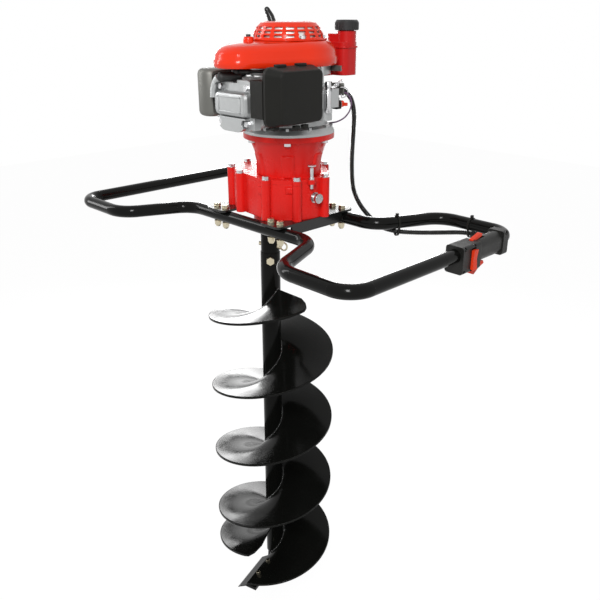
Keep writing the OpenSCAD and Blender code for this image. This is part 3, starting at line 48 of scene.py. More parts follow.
scene.view_settings.view_transform = "Standard"

camera_data = bpy.data.cameras.new("studio_camera")
camera_data.lens = 42.35
camera_data.sensor_width = 36
camera_data.clip_end = 50
camera = bpy.data.objects.new("studio_camera", camera_data)
scene.collection.objects.link(camera)
camera_back = Vector((0.6636, -0.6437, 0.3812)).normalized()
camera_right = Vector((0.6964, 0.7180, 0)).normalized()
camera_up = camera_back.cross(camera_right)
camera.matrix_world = Matrix.Translation((1.1668, -1.0357, 1.4595)) @ Matrix(
    (camera_right, camera_up, camera_back)).transposed().to_4x4()
scene.camera = camera


def soft_lamp(name, place, aim, size, watts):
    """Rectangular lamp at a place, turned to a point."""
    data = bpy.data.lights.new(name, "AREA")
    data.shape = "RECTANGLE"
    data.size, data.size_y = size
    data.energy = watts
    lamp = bpy.data.objects.new(name, data)
    scene.collection.objects.link(lamp)
    lamp.location = place
    lamp.rotation_euler = (Vector(aim) - Vector(place)).to_track_quat("-Z", "Y").to_euler()


# A key from the front right, an edge light from the left, and three boxes behind, which the flights and
# plates mirror
soft_lamp("key_strip", (1.7, -1.9, 2.7), (0.05, 0, 1.0), (0.45, 1.3), 60)
soft_lamp("side_strip", (-2.0, -1.2, 2.0), (0, 0, 1.0), (0.4, 1.9), 20)
soft_lamp("low_box", (-1.6, 1.55, 0.36), (0, 0, 0.36), (1.4, 0.52), 3)
soft_lamp("mid_box", (-1.6, 1.55, 1.15), (0, 0, 0.9), (1.4, 0.60), 38)
soft_lamp("plate_box", (-1.6, 1.55, 1.68), (0, 0, 1.0), (1.3, 0.4), 2.5)

world = bpy.data.worlds.new("white_room")
scene.world = world
world.use_nodes = True
room = world.node_tree
room.nodes.clear()
room_out = room.nodes.new("ShaderNodeOutputWorld")
room_rays = room.nodes.new("ShaderNodeLightPath")
room_seen = room.nodes.new("ShaderNodeMath")
room_seen.operation = "MAXIMUM"
room_seen_too = room.nodes.new("ShaderNodeMath")
room_seen_too.operation = "MAXIMUM"
room_mix = room.nodes.new("ShaderNodeMixShader")
room_light = room.nodes.new("ShaderNodeBackground")
room_light.inputs["Color"].default_value = (1, 1, 1, 1)
room_light.inputs["Strength"].default_value = 0.30
room_white = room.nodes.new("ShaderNodeBackground")
room_white.inputs["Color"].default_value = (1, 1, 1, 1)
room_white.inputs["Strength"].default_value = 1.0
room.links.new(room_rays.outputs["Is Camera Ray"], room_seen.inputs[0])
room.links.new(room_rays.outputs["Is Glossy Ray"], room_seen.inputs[1])
room.links.new(room_seen.outputs[0], room_seen_too.inputs[0])
room.links.new(room_rays.outputs["Is Transmission Ray"], room_seen_too.inputs[1])
room.links.new(room_seen_too.outputs[0], room_mix.inputs[0])
room.links.new(room_light.outputs[0], room_mix.inputs[1])
room.links.new(room_white.outputs[0], room_mix.inputs[2])
room.links.new(room_mix.outputs[0], room_out.inputs["Surface"])

sheet_mesh = bpy.data.meshes.new("paper_floor")
SHEET_HALF, SHEET_Z = 6, -0.002
sheet_corners = [(x * SHEET_HALF, y * SHEET_HALF, SHEET_Z) for x, y in ((-1, -1), (1, -1), (1, 1), (-1, 1))]
sheet_mesh.from_pydata(sheet_corners, [], [(0, 1, 2, 3)])
paper_floor = bpy.data.objects.new("paper_floor", sheet_mesh)
scene.collection.objects.link(paper_floor)
paper = bpy.data.materials.new("white_paper")
paper.use_nodes = True
paper_tree = paper.node_tree
paper_tree.nodes.clear()
paper_out = paper_tree.nodes.new("ShaderNodeOutputMaterial")
paper_face = paper_tree.nodes.new("ShaderNodeBsdfDiffuse")
paper_face.inputs["Color"].default_value = (0.9, 0.9, 0.9, 1)
paper_glow = paper_tree.nodes.new("ShaderNodeEmission")
paper_glow.inputs["Color"].default_value = (1, 1, 1, 1)
paper_glow.inputs["Strength"].default_value = 1.02
paper_rays = paper_tree.nodes.new("ShaderNodeLightPath")
paper_seen = paper_tree.nodes.new("ShaderNodeMath")
paper_seen.operation = "MAXIMUM"
paper_share = paper_tree.nodes.new("ShaderNodeMath")
paper_share.operation = "MULTIPLY"
paper_share.inputs[1].default_value = 0.95
paper_mix = paper_tree.nodes.new("ShaderNodeMixShader")
paper_tree.links.new(paper_rays.outputs["Is Camera Ray"], paper_seen.inputs[0])
paper_tree.links.new(paper_rays.outputs["Is Glossy Ray"], paper_seen.inputs[1])
paper_tree.links.new(paper_seen.outputs[0], paper_share.inputs[0])
paper_tree.links.new(paper_share.outputs[0], paper_mix.inputs[0])
paper_tree.links.new(paper_face.outputs[0], paper_mix.inputs[1])
paper_tree.links.new(paper_glow.outputs[0], paper_mix.inputs[2])
paper_tree.links.new(paper_mix.outputs[0], paper_out.inputs["Surface"])
sheet_mesh.materials.append(paper)

# Auger: a steel tube with a welded right-hand flight, dipped in gloss black enamel
# that has worn thin along its edges.


def shader_group(name, inputs, outputs):
    group = bpy.data.node_groups.new(name, "ShaderNodeTree")
    for label, kind, value in inputs:
        socket = group.interface.new_socket(label, in_out="INPUT", socket_type=kind)
        if value is not None:
            socket.default_value = value
    for label, kind in outputs:
        group.interface.new_socket(label, in_out="OUTPUT", socket_type=kind)
    return group, group.nodes.new("NodeGroupInput"), group.nodes.new("NodeGroupOutput")


# Slow drift of a colour over a surface
tone_drift, drift_in, drift_out = shader_group(
    "tone drift",
    [("Place", "NodeSocketVector", None), ("Color", "NodeSocketColor", None),
     ("Scale", "NodeSocketFloat", 20.0), ("Amount", "NodeSocketFloat", 0.1)],
    [("Color", "NodeSocketColor")])
drift_noise = tone_drift.nodes.new("ShaderNodeTexNoise")
drift_noise.inputs["Detail"].default_value = 4
drift_span = tone_drift.nodes.new("ShaderNodeMath")
drift_span.operation = "MULTIPLY_ADD"
drift_span.inputs[1].default_value = 2
drift_span.inputs[2].default_value = -1
drift_gain = tone_drift.nodes.new("ShaderNodeMath")
drift_gain.operation = "MULTIPLY_ADD"
drift_gain.inputs[2].default_value = 1
drift_mix = tone_drift.nodes.new("ShaderNodeVectorMath")
drift_mix.operation = "SCALE"
tone_drift.links.new(drift_in.outputs["Place"], drift_noise.inputs["Vector"])
tone_drift.links.new(drift_in.outputs["Scale"], drift_noise.inputs["Scale"])
tone_drift.links.new(drift_noise.outputs[0], drift_span.inputs[0])
tone_drift.links.new(drift_span.outputs[0], drift_gain.inputs[0])
tone_drift.links.new(drift_in.outputs["Amount"], drift_gain.inputs[1])
tone_drift.links.new(drift_in.outputs["Color"], drift_mix.inputs[0])
tone_drift.links.new(drift_gain.outputs[0], drift_mix.inputs["Scale"])
tone_drift.links.new(drift_mix.outputs[0], drift_out.inputs["Color"])

# Patches of higher and lower gloss
gloss_patches, patch_in, patch_out = shader_group(
    "gloss patches",
    [("Place", "NodeSocketVector", None), ("Scale", "NodeSocketFloat", 30.0),
     ("Low", "NodeSocketFloat", 0.2), ("High", "NodeSocketFloat", 0.4)],
    [("Roughness", "NodeSocketFloat")])
patch_noise = gloss_patches.nodes.new("ShaderNodeTexNoise")
patch_noise.inputs["Detail"].default_value = 5
patch_range = gloss_patches.nodes.new("ShaderNodeMapRange")
patch_range.inputs["From Min"].default_value = 0.3
patch_range.inputs["From Max"].default_value = 0.7
gloss_patches.links.new(patch_in.outputs["Place"], patch_noise.inputs["Vector"])
gloss_patches.links.new(patch_in.outputs["Scale"], patch_noise.inputs["Scale"])
gloss_patches.links.new(patch_noise.outputs[0], patch_range.inputs["Value"])
gloss_patches.links.new(patch_in.outputs["Low"], patch_range.inputs["To Min"])
gloss_patches.links.new(patch_in.outputs["High"], patch_range.inputs["To Max"])
gloss_patches.links.new(patch_range.outputs[0], patch_out.inputs["Roughness"])

# Rubbed corners: bright where the rounded normal leaves the face's own
rubbed_edges, rub_in, rub_out = shader_group(
    "rubbed edges",
    [("Place", "NodeSocketVector", None), ("Reach", "NodeSocketFloat", 0.001),
     ("Breakup", "NodeSocketFloat", 120.0)],
    [("Mask", "NodeSocketFloat")])
rub_bevel = rubbed_edges.nodes.new("ShaderNodeBevel")
rub_bevel.samples = 4
rub_face = rubbed_edges.nodes.new("ShaderNodeNewGeometry")
rub_dot = rubbed_edges.nodes.new("ShaderNodeVectorMath")
rub_dot.operation = "DOT_PRODUCT"
rub_range = rubbed_edges.nodes.new("ShaderNodeMapRange")
rub_range.inputs["From Min"].default_value = 0.985
rub_range.inputs["From Max"].default_value = 0.80
rub_noise = rubbed_edges.nodes.new("ShaderNodeTexNoise")
rub_noise.inputs["Detail"].default_value = 6
rub_cut = rubbed_edges.nodes.new("ShaderNodeMapRange")
rub_cut.inputs["From Min"].default_value = 0.42
rub_cut.inputs["From Max"].default_value = 0.62
rub_both = rubbed_edges.nodes.new("ShaderNodeMath")
rub_both.operation = "MULTIPLY"
rubbed_edges.links.new(rub_in.outputs["Reach"], rub_bevel.inputs["Radius"])
rubbed_edges.links.new(rub_bevel.outputs[0], rub_dot.inputs[0])
rubbed_edges.links.new(rub_face.outputs["Normal"], rub_dot.inputs[1])
rubbed_edges.links.new(rub_dot.outputs["Value"], rub_range.inputs["Value"])
rubbed_edges.links.new(rub_in.outputs["Place"], rub_noise.inputs["Vector"])
rubbed_edges.links.new(rub_in.outputs["Breakup"], rub_noise.inputs["Scale"])
rubbed_edges.links.new(rub_noise.outputs[0], rub_cut.inputs["Value"])
rubbed_edges.links.new(rub_range.outputs[0], rub_both.inputs[0])
rubbed_edges.links.new(rub_cut.outputs[0], rub_both.inputs[1])
rubbed_edges.links.new(rub_both.outputs[0], rub_out.inputs["Mask"])

# Fine relief of a cast, sprayed or moulded skin
skin_grain, grain_in, grain_out = shader_group(
    "skin grain",
    [("Place", "NodeSocketVector", None), ("Scale", "NodeSocketFloat", 400.0),
     ("Detail", "NodeSocketFloat", 3.0)],
    [("Height", "NodeSocketFloat")])
grain_noise = skin_grain.nodes.new("ShaderNodeTexNoise")
skin_grain.links.new(grain_in.outputs["Place"], grain_noise.inputs["Vector"])
skin_grain.links.new(grain_in.outputs["Scale"], grain_noise.inputs["Scale"])
skin_grain.links.new(grain_in.outputs["Detail"], grain_noise.inputs["Detail"])
skin_grain.links.new(grain_noise.outputs[0], grain_out.inputs["Height"])


GRAIN_DEPTH = 0.001


def surface(name, colour, gloss, metal=0.0, shine=0.5, drift=(14, 0.08), grain=(420, 0.04), rub=None, edge=0.0007):
    """Material from one base colour: roughness range, shine (mirror level), drift (scale, amount), grain
    (scale, strength), rub (colour, reach, share of bare metal) and the radius of its eased edges."""
    made = bpy.data.materials.new(name)
    made.use_nodes = True
    tree = made.node_tree
    skin = tree.nodes["Principled BSDF"]
    place = tree.nodes.new("ShaderNodeTexCoord")
    spot = place.outputs["Object"]
    tone = tree.nodes.new("ShaderNodeGroup")
    tone.node_tree = tone_drift
    tone.inputs["Color"].default_value = (*colour, 1)
    tone.inputs["Scale"].default_value, tone.inputs["Amount"].default_value = drift
    tree.links.new(spot, tone.inputs["Place"])
    patches = tree.nodes.new("ShaderNodeGroup")
    patches.node_tree = gloss_patches
    patches.inputs["Low"].default_value, patches.inputs["High"].default_value = gloss
    tree.links.new(spot, patches.inputs["Place"])
    tree.links.new(patches.outputs[0], skin.inputs["Roughness"])
    relief = tree.nodes.new("ShaderNodeGroup")
    relief.node_tree = skin_grain
    relief.inputs["Scale"].default_value = grain[0]
    tree.links.new(spot, relief.inputs["Place"])
    bump = tree.nodes.new("ShaderNodeBump")
    bump.inputs["Strength"].default_value = grain[1]
    bump.inputs["Distance"].default_value = GRAIN_DEPTH
    tree.links.new(relief.outputs[0], bump.inputs["Height"])
    if edge:
        eased = tree.nodes.new("ShaderNodeBevel")
        eased.samples = 4
        eased.inputs["Radius"].default_value = edge
        tree.links.new(eased.outputs[0], bump.inputs["Normal"])
    tree.links.new(bump.outputs[0], skin.inputs["Normal"])
    skin.inputs["Metallic"].default_value = metal
    skin.inputs["Specular IOR Level"].default_value = shine
    if rub:
        worn = tree.nodes.new("ShaderNodeGroup")
        worn.node_tree = rubbed_edges
        worn.inputs["Reach"].default_value = rub[1]
        tree.links.new(spot, worn.inputs["Place"])
        share = tree.nodes.new("ShaderNodeMath")
        share.operation = "MULTIPLY"
        share.inputs[1].default_value = rub[2]
        tree.links.new(worn.outputs[0], share.inputs[0])
        blend = tree.nodes.new("ShaderNodeMix")
        blend.data_type = "RGBA"
        blend.inputs["B"].default_value = (*rub[0], 1)
        tree.links.new(share.outputs[0], blend.inputs["Factor"])
        tree.links.new(tone.outputs[0], blend.inputs["A"])
        tree.links.new(blend.outputs["Result"], skin.inputs["Base Color"])
    else:
        tree.links.new(tone.outputs[0], skin.inputs["Base Color"])
    return made


def dress(material, *names):
    """Gives the named CAD nodes a material."""
    for name in names:
        mesh = nodes[name].data
        mesh.materials.clear()
        mesh.materials.append(material)


BARE_STEEL = (0.32, 0.31, 0.30)
AUGER_BLACK = (0.0050, 0.0052, 0.0046)
auger_enamel = surface("gloss_black_enamel", AUGER_BLACK, (0.10, 0.20), shine=0.09, grain=(160, 0.02),
                       rub=(BARE_STEEL, 0.0012, 0.18), edge=0.0010)
dress(auger_enamel, "auger_tube", "auger_flight", "starter_flight", "cutting_blades", "pilot_point",
      "drive_socket")
zinc_plate = surface("yellow_zinc_plate", (0.60, 0.54, 0.40), (0.26, 0.42), metal=1.0, drift=(60, 0.16),
                     grain=(700, 0.05), edge=0.0005)
dress(zinc_plate, "auger_bolts", "lock_pin", "frame_bolts", "frame_nuts")

# Flights: rings cut from 6 mm steel sheet and pulled into a right-hand screw, with eased rims. The second,
# half-turn sheet starts the hole opposite the first one's end.


def fitted(name, bm, material, body="machine", sharp=40):
    """Finishes a bmesh as a piece that rides on a body."""
    bmesh.ops.remove_doubles(bm, verts=bm.verts, dist=1e-6)
    bmesh.ops.recalc_face_normals(bm, faces=bm.faces)
    mesh = bpy.data.meshes.new(name)
    bm.to_mesh(mesh)
    bm.free()
    mesh.shade_smooth()
    mesh.set_sharp_from_angle(angle=math.radians(sharp))
    mesh.materials.append(material)
    made = bpy.data.objects.new(name, mesh)
    scene.collection.objects.link(made)
    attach(made, body)
    return made


FLIGHT_TOP, FLIGHT_PITCH, FLIGHT_TURNS = 0.849, 0.186, 4.2
FLIGHT_IN, FLIGHT_OUT, FLIGHT_T, RIM_EASE = 0.02315, 0.150, 0.006, 0.0012
STARTER_FROM, STARTER_TO, STARTER_DROP = 0.5 - FLIGHT_TURNS, 1.03 - FLIGHT_TURNS, -FLIGHT_PITCH / 2
TIP_CUT, STEPS_PER_TURN, SHEET_ROWS = 0.045, 90, 14


def flight_sheet(name, first, last, drop, reach):
    """Screw sheet between two turns; its top end is cut back over the last few degrees (reach)."""
    sheet = bmesh.new()
    steps = int((last - first) * STEPS_PER_TURN)
    rings = []
    for k in range(steps + 1):
        turn = first + (last - first) * k / steps
        angle = 2 * math.pi * turn
        left = max(0, 1 - (last - turn) * 360 / reach)
        rim = FLIGHT_OUT - TIP_CUT * left ** 2
        height = FLIGHT_TOP + FLIGHT_PITCH * turn + drop
        widest = (rim - 2 * RIM_EASE) / FLIGHT_IN
        row = [FLIGHT_IN * widest ** (j / SHEET_ROWS) for j in range(SHEET_ROWS + 1)]
        row.append(rim - RIM_EASE)
        eased = [(rim - 0.3 * RIM_EASE, 0.7 * RIM_EASE), (rim, RIM_EASE)]
        section = [(r, -FLIGHT_T / 2) for r in row]
        section += [(r, e - FLIGHT_T / 2 - 0.4 * RIM_EASE) for r, e in eased]
        section += [(r, -z) for r, z in reversed(section)]
        rings.append([sheet.verts.new((r * math.cos(angle), r * math.sin(angle), height + z))
                      for r, z in section])
    for low, high in zip(rings, rings[1:]):
        for j in range(len(low)):
            n = (j + 1) % len(low)
            sheet.faces.new((low[j], low[n], high[n], high[j]))
    sheet.faces.new(rings[0][::-1])
    sheet.faces.new(rings[-1])
    return fitted(name, sheet, auger_enamel, "auger")


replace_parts(flight_sheet("main_flight_sheet", -FLIGHT_TURNS, 0, 0, 14), "auger_flight")
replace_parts(flight_sheet("starter_flight_sheet", STARTER_FROM, STARTER_TO, STARTER_DROP, 10), "starter_flight")

# Flight welds: a rippled bead runs up the tube above and below each sheet, laid by hand in one pass, and
# dipped in the same enamel.


def smooth_route(points, steps):
    """Curve through a route's points, each span in equal steps."""
    spots = [Vector(p) for p in points]
    line = []
    for i in range(len(spots) - 1):
        a, b = spots[max(i - 1, 0)], spots[i]
        c, d = spots[i + 1], spots[min(i + 2, len(spots) - 1)]
        for k in range(steps):
            t = k / steps
            line.append(0.5 * (2 * b + (c - a) * t + (2 * a - 5 * b + 4 * c - d) * t ** 2
                               + (3 * b - a - 3 * c + d) * t ** 3))
    return line + [spots[-1]]


def thread(name, line):
    """Open curve along a line, for a node tree to work on."""
    data = bpy.data.curves.new(name, "CURVE")
    data.dimensions = "3D"
    spline = data.splines.new("POLY")
    spline.points.add(len(line) - 1)
    for knot, spot in zip(spline.points, line):
        knot.co = (*spot, 1)
    made = bpy.data.objects.new(name, data)
    scene.collection.objects.link(made)
    return made


def node_tree(name, inputs):
    """Empty geometry tree with a geometry input and output and the named inputs after it."""
    tree = bpy.data.node_groups.new(name, "GeometryNodeTree")
    tree.interface.new_socket("Geometry", in_out="INPUT", socket_type="NodeSocketGeometry")
    for label, kind, value in inputs:
        socket = tree.interface.new_socket(label, in_out="INPUT", socket_type=kind)
        if value is not None:
            socket.default_value = value
    tree.interface.new_socket("Geometry", in_out="OUTPUT", socket_type="NodeSocketGeometry")
    return tree, tree.nodes.new("NodeGroupInput"), tree.nodes.new("NodeGroupOutput")


def maths(tree, operation, *values):
    """Math node on links or numbers; gives its output."""
    node = tree.nodes.new("ShaderNodeMath")
    node.operation = operation
    for socket, value in zip(node.inputs, values):
        if isinstance(value, (int, float)):
            socket.default_value = value
        else:
            tree.links.new(value, socket)
    return node.outputs[0]


def grown(source, tree, name, values):
    """Plain mesh that the tree makes from the source object, which is then removed."""
    modifier = source.modifiers.new("tree", "NODES")
    modifier.node_group = tree
    for item in tree.interface.items_tree:
        if item.in_out == "INPUT" and item.name in values:
            modifier[item.identifier] = values[item.name]
    source.update_tag()
    bpy.context.view_layer.update()
    depsgraph = bpy.context.evaluated_depsgraph_get()
    mesh = bpy.data.meshes.new_from_object(source.evaluated_get(depsgraph), depsgraph=depsgraph)
    mesh.name = name
    source.modifiers.remove(modifier)
    bpy.data.objects.remove(source)
    made = bpy.data.objects.new(name, mesh)
    scene.collection.objects.link(made)
    return made


welds, welds_in, welds_out = node_tree("weld ripples", [
    ("Step", "NodeSocketFloat", 0.004), ("Size", "NodeSocketFloat", 0.003), ("Seed", "NodeSocketInt", 7),
    ("Material", "NodeSocketMaterial", None)])
weld_steps = welds.nodes.new("GeometryNodeCurveToPoints")
weld_steps.mode = "LENGTH"
weld_drop = welds.nodes.new("GeometryNodeMeshUVSphere")
weld_drop.inputs["Segments"].default_value = 8
weld_drop.inputs["Rings"].default_value = 5
weld_lay = welds.nodes.new("GeometryNodeInstanceOnPoints")
weld_size = welds.nodes.new("FunctionNodeRandomValue")
weld_size.data_type = "FLOAT_VECTOR"
weld_size.inputs["Min"].default_value = (0.9, 0.9, 0.75)
weld_size.inputs["Max"].default_value = (1.1, 1.1, 0.95)
weld_whole = welds.nodes.new("GeometryNodeRealizeInstances")
weld_smooth = welds.nodes.new("GeometryNodeSetShadeSmooth")
weld_paint = welds.nodes.new("GeometryNodeSetMaterial")
welds.links.new(welds_in.outputs["Geometry"], weld_steps.inputs["Curve"])
welds.links.new(welds_in.outputs["Step"], weld_steps.inputs["Length"])
welds.links.new(welds_in.outputs["Size"], weld_drop.inputs["Radius"])
welds.links.new(weld_steps.outputs["Points"], weld_lay.inputs["Points"])
welds.links.new(weld_drop.outputs["Mesh"], weld_lay.inputs["Instance"])
welds.links.new(weld_steps.outputs["Rotation"], weld_lay.inputs["Rotation"])
welds.links.new(welds_in.outputs["Seed"], weld_size.inputs["Seed"])
welds.links.new(weld_size.outputs["Value"], weld_lay.inputs["Scale"])
welds.links.new(weld_lay.outputs[0], weld_whole.inputs[0])
welds.links.new(weld_whole.outputs[0], weld_smooth.inputs[0])
welds.links.new(weld_smooth.outputs[0], weld_paint.inputs["Geometry"])
welds.links.new(welds_in.outputs["Material"], weld_paint.inputs["Material"])
welds.links.new(weld_paint.outputs[0], welds_out.inputs[0])

bead_enamel = surface("bead_black_enamel", AUGER_BLACK, (0.08, 0.16), shine=0.7, grain=(160, 0.02), edge=0)
BEAD_R, BEAD_LIFT, BEAD_STEPS_PER_TURN = 0.0238, 0.0035, 64
for label, first, last, drop, lift in (
        ("main_upper", -FLIGHT_TURNS, 0, 0, BEAD_LIFT),
        ("main_lower", -FLIGHT_TURNS, 0, 0, -BEAD_LIFT),
        ("starter_upper", STARTER_FROM, STARTER_TO, STARTER_DROP, BEAD_LIFT),
        ("starter_lower", STARTER_FROM, STARTER_TO, STARTER_DROP, -BEAD_LIFT)):
    steps = int((last - first) * BEAD_STEPS_PER_TURN)
    bead_line = []
    for k in range(steps + 1):
        turn = first + (last - first) * k / steps
        angle = 2 * math.pi * turn
        bead_line.append(Vector((BEAD_R * math.cos(angle), BEAD_R * math.sin(angle),
                                 FLIGHT_TOP + FLIGHT_PITCH * turn + drop + lift)))
    bead = grown(thread("bead_line", bead_line), welds, "weld_" + label,
                 {"Step": 0.0034, "Size": 0.0026, "Seed": 7, "Material": bead_enamel})
    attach(bead, "auger")

# Gearbox and clutch bell: sand-cast aluminium under orange-red paint, closed with plated bolts. Inside are
# oiled steel gears and shafts on ball bearings, and a centrifugal clutch with lined shoes.
casting_red = surface("cast_red_paint", (0.740, 0.0150, 0.0110), (0.22, 0.36), shine=0.22, drift=(9, 0.08),
                      grain=(260, 0.14), rub=((0.34, 0.10, 0.08), 0.0010, 0.35), edge=0.0016)
dress(casting_red, "gear_case", "bell_housing")
bright_steel = surface("bright_turned_steel", (0.60, 0.60, 0.61), (0.18, 0.34), metal=1.0, drift=(80, 0.10),
                       grain=(900, 0.04), edge=0.0004)
dress(bright_steel, "gearbox_bolts", "breather_plug", "oil_plug", "gearbox_bearings", "output_shaft",
      "grip_screws", "engine_bolts")
gear_steel = surface("oiled_gear_steel", (0.30, 0.30, 0.31), (0.20, 0.40), metal=1.0, drift=(50, 0.14),
                     grain=(600, 0.05), edge=0.0004)
dress(gear_steel, "output_gear", "layshaft", "layshaft_gear", "pinion_shaft", "clutch_drum", "crankshaft",
      "clutch_hub")
friction_lining = surface("sintered_lining", (0.09, 0.08, 0.075), (0.55, 0.75), drift=(300, 0.3),
                          grain=(900, 0.2))
dress(friction_lining, "clutch_shoe_a", "clutch_shoe_b")
seal_rubber = surface("black_rubber", (0.012, 0.012, 0.012), (0.45, 0.62), drift=(40, 0.15),
                      grain=(600, 0.08))
dress(seal_rubber, "output_seal", "plug_boot", "engine_leads")

# Cast pads: flat ribs down the bell under its flange bolts and a short ledge on the case's front wall. They are
# cast in one with the walls to stiffen them, and painted the same.


ENGINE_X = 0.065
PAD_EASE, PAD_SINK = 0.004, 0.0008
BELL_WAIST_R, BELL_FLARE, BELL_SPAN, BELL_HEIGHT, CASE_R = 0.066, 0.022, 0.089, 0.096, 0.086
FIRST_FLANGE_BOLT, FLANGE_BOLT_STEP = -45, 60
cover_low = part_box("bell_housing")[1].z - BELL_HEIGHT


def cast_pad(bm, wall, turn, half_width, low, high, rise):
    """Raised pad on a round wall about the engine's axis, with eased sides and ends. wall gives the wall's
    radius at a height."""
    across, along = 12, 16
    centre = Vector((ENGINE_X, 0, 0))
    turned_by = Matrix.Rotation(math.radians(turn), 3, "Z")
    layers = []
    for outer in (1, 0):
        rows = []
        for i in range(along + 1):
            z = low + (high - low) * i / along
            end = min(1, min(z - low, high - z) / PAD_EASE)
            row = []
            for j in range(across + 1):
                y = half_width * (2 * j / across - 1)
                side = min(1, (half_width - abs(y)) / PAD_EASE)
                lift = rise * math.sin(math.pi / 2 * min(end, side)) if outer else 0
                x = math.sqrt(wall(z) ** 2 - y * y) - PAD_SINK + lift
                row.append(bm.verts.new(centre + turned_by @ Vector((x, y, z))))
            rows.append(row)
        layers.append(rows)
    for rows in layers:
        for a, b in zip(rows, rows[1:]):
            for j in range(across):
                bm.faces.new((a[j], a[j + 1], b[j + 1], b[j]))


def bell_wall(z):
    """Radius of the bell's flared wall at a height."""
    return BELL_WAIST_R + BELL_FLARE * max(0, (z - cover_low - 0.001) / BELL_SPAN) ** 2.2


def case_wall(z):
    """Radius of the gear case's upright front wall."""
    return CASE_R


pads = bmesh.new()
for turn in range(FIRST_FLANGE_BOLT, FIRST_FLANGE_BOLT + 360, FLANGE_BOLT_STEP):
    cast_pad(pads, bell_wall, turn, 0.015, cover_low + 0.008, cover_low + 0.058, 0.0044)
cast_pad(pads, case_wall, -41, 0.012, cover_low - 0.020, cover_low - 0.003, 0.0050)
fitted("cast_pads", pads, casting_red)

# Handle frame: two bent steel tubes bolted between two pressed cross plates, in gloss black enamel like the
# auger's. The plates carry the gear case.
tube_enamel = surface("tube_black_enamel", (0.0040, 0.0041, 0.0037), (0.10, 0.16), shine=0.12,
                      grain=(140, 0.012), edge=0.0010)
dress(tube_enamel, "front_tube", "rear_tube")
plate_enamel = surface("plate_black_enamel", (0.0080, 0.0082, 0.0075), (0.13, 0.24), shine=0.4,
                       grain=(150, 0.03), rub=(BARE_STEEL, 0.0010, 0.15), edge=0.0012)
dress(plate_enamel, "left_cross_plate", "right_cross_plate")

# Throttle control: two black moulded half shells screwed together round the grip bar, with a red trigger,
# lock-out lever and stop rocker. The cable ties and the air cleaner are of the same black plastic.
shell_plastic = surface("black_moulded_shell", (0.0085, 0.0084, 0.0070), (0.40, 0.54), shine=0.16,
                        drift=(30, 0.15), grain=(1100, 0.22), edge=0.0010)
dress(shell_plastic, "control_conduit", "cable_ties", "air_cleaner_base", "air_cleaner_cover")
grip_plastic = surface("grey_black_grip", (0.011, 0.011, 0.010), (0.30, 0.44), shine=0.24, drift=(30, 0.15),
                       grain=(1100, 0.22), edge=0.0010)
dress(grip_plastic, "throttle_housing", "throttle_cover")
lever_red = surface("red_moulded_lever", (0.80, 0.044, 0.010), (0.30, 0.45), shine=0.25, drift=(40, 0.08),
                    grain=(900, 0.10), edge=0.0010)
dress(lever_red, "trigger", "lockout_lever", "stop_rocker", "fuel_lever")

# Control conduit: a ribbed black sleeve with the throttle cable and the switch wires inside. It leaves the
# engine in a smooth end piece, hangs down past the gearbox, is tied under the rear tube and enters the grip.
ribbed, ribbed_in, ribbed_out = node_tree("cord skin", [
    ("Ribs", "NodeSocketInt", 100), ("Radius", "NodeSocketFloat", 0.005), ("Rib Depth", "NodeSocketFloat", 0.001),
    ("Smooth Share", "NodeSocketFloat", 0.1), ("Material", "NodeSocketMaterial", None)])
rib_steps = ribbed.nodes.new("GeometryNodeResampleCurve")
STEPS_PER_RIB = 6
rib_count = maths(ribbed, "MULTIPLY_ADD", ribbed_in.outputs["Ribs"], STEPS_PER_RIB, 1)
rib_index = ribbed.nodes.new("GeometryNodeInputIndex")
rib_along = ribbed.nodes.new("GeometryNodeSplineParameter")
rib_step = maths(ribbed, "MODULO", rib_index.outputs[0], STEPS_PER_RIB)
rib_phase = maths(ribbed, "ABSOLUTE", maths(ribbed, "SUBTRACT", rib_step, STEPS_PER_RIB / 2))
rib_valley = maths(ribbed, "SMOOTH_MAX", maths(ribbed, "SUBTRACT", rib_phase, 1.3), 0, 0.6)
rib_dip = maths(ribbed, "MULTIPLY", rib_valley, 0.55)
rib_cut = maths(ribbed, "GREATER_THAN", rib_along.outputs["Factor"], ribbed_in.outputs["Smooth Share"])
rib_drop = maths(ribbed, "MULTIPLY", maths(ribbed, "MULTIPLY", rib_dip, rib_cut),
                 ribbed_in.outputs["Rib Depth"])
rib_radius = maths(ribbed, "SUBTRACT", ribbed_in.outputs["Radius"], rib_drop)
rib_set = ribbed.nodes.new("GeometryNodeSetCurveRadius")
rib_loop = ribbed.nodes.new("GeometryNodeCurvePrimitiveCircle")
rib_loop.inputs["Resolution"].default_value = 16
rib_loop.inputs["Radius"].default_value = 1
rib_skin = ribbed.nodes.new("GeometryNodeCurveToMesh")
rib_skin.inputs["Fill Caps"].default_value = True
rib_smooth = ribbed.nodes.new("GeometryNodeSetShadeSmooth")
rib_whole = ribbed.nodes.new("GeometryNodeRealizeInstances")
rib_paint = ribbed.nodes.new("GeometryNodeSetMaterial")
ribbed.links.new(ribbed_in.outputs["Geometry"], rib_steps.inputs["Curve"])
ribbed.links.new(rib_count, rib_steps.inputs["Count"])
ribbed.links.new(rib_steps.outputs[0], rib_set.inputs["Curve"])
ribbed.links.new(rib_radius, rib_set.inputs["Radius"])
ribbed.links.new(rib_set.outputs[0], rib_skin.inputs["Curve"])
ribbed.links.new(rib_loop.outputs[0], rib_skin.inputs["Profile Curve"])
rib_read = ribbed.nodes.new("GeometryNodeInputRadius")
ribbed.links.new(rib_read.outputs[0], rib_skin.inputs["Scale"])
ribbed.links.new(rib_skin.outputs[0], rib_smooth.inputs[0])
ribbed.links.new(rib_smooth.outputs[0], rib_whole.inputs[0])
ribbed.links.new(rib_whole.outputs[0], rib_paint.inputs["Geometry"])
ribbed.links.new(ribbed_in.outputs["Material"], rib_paint.inputs["Material"])
ribbed.links.new(rib_paint.outputs[0], ribbed_out.inputs[0])

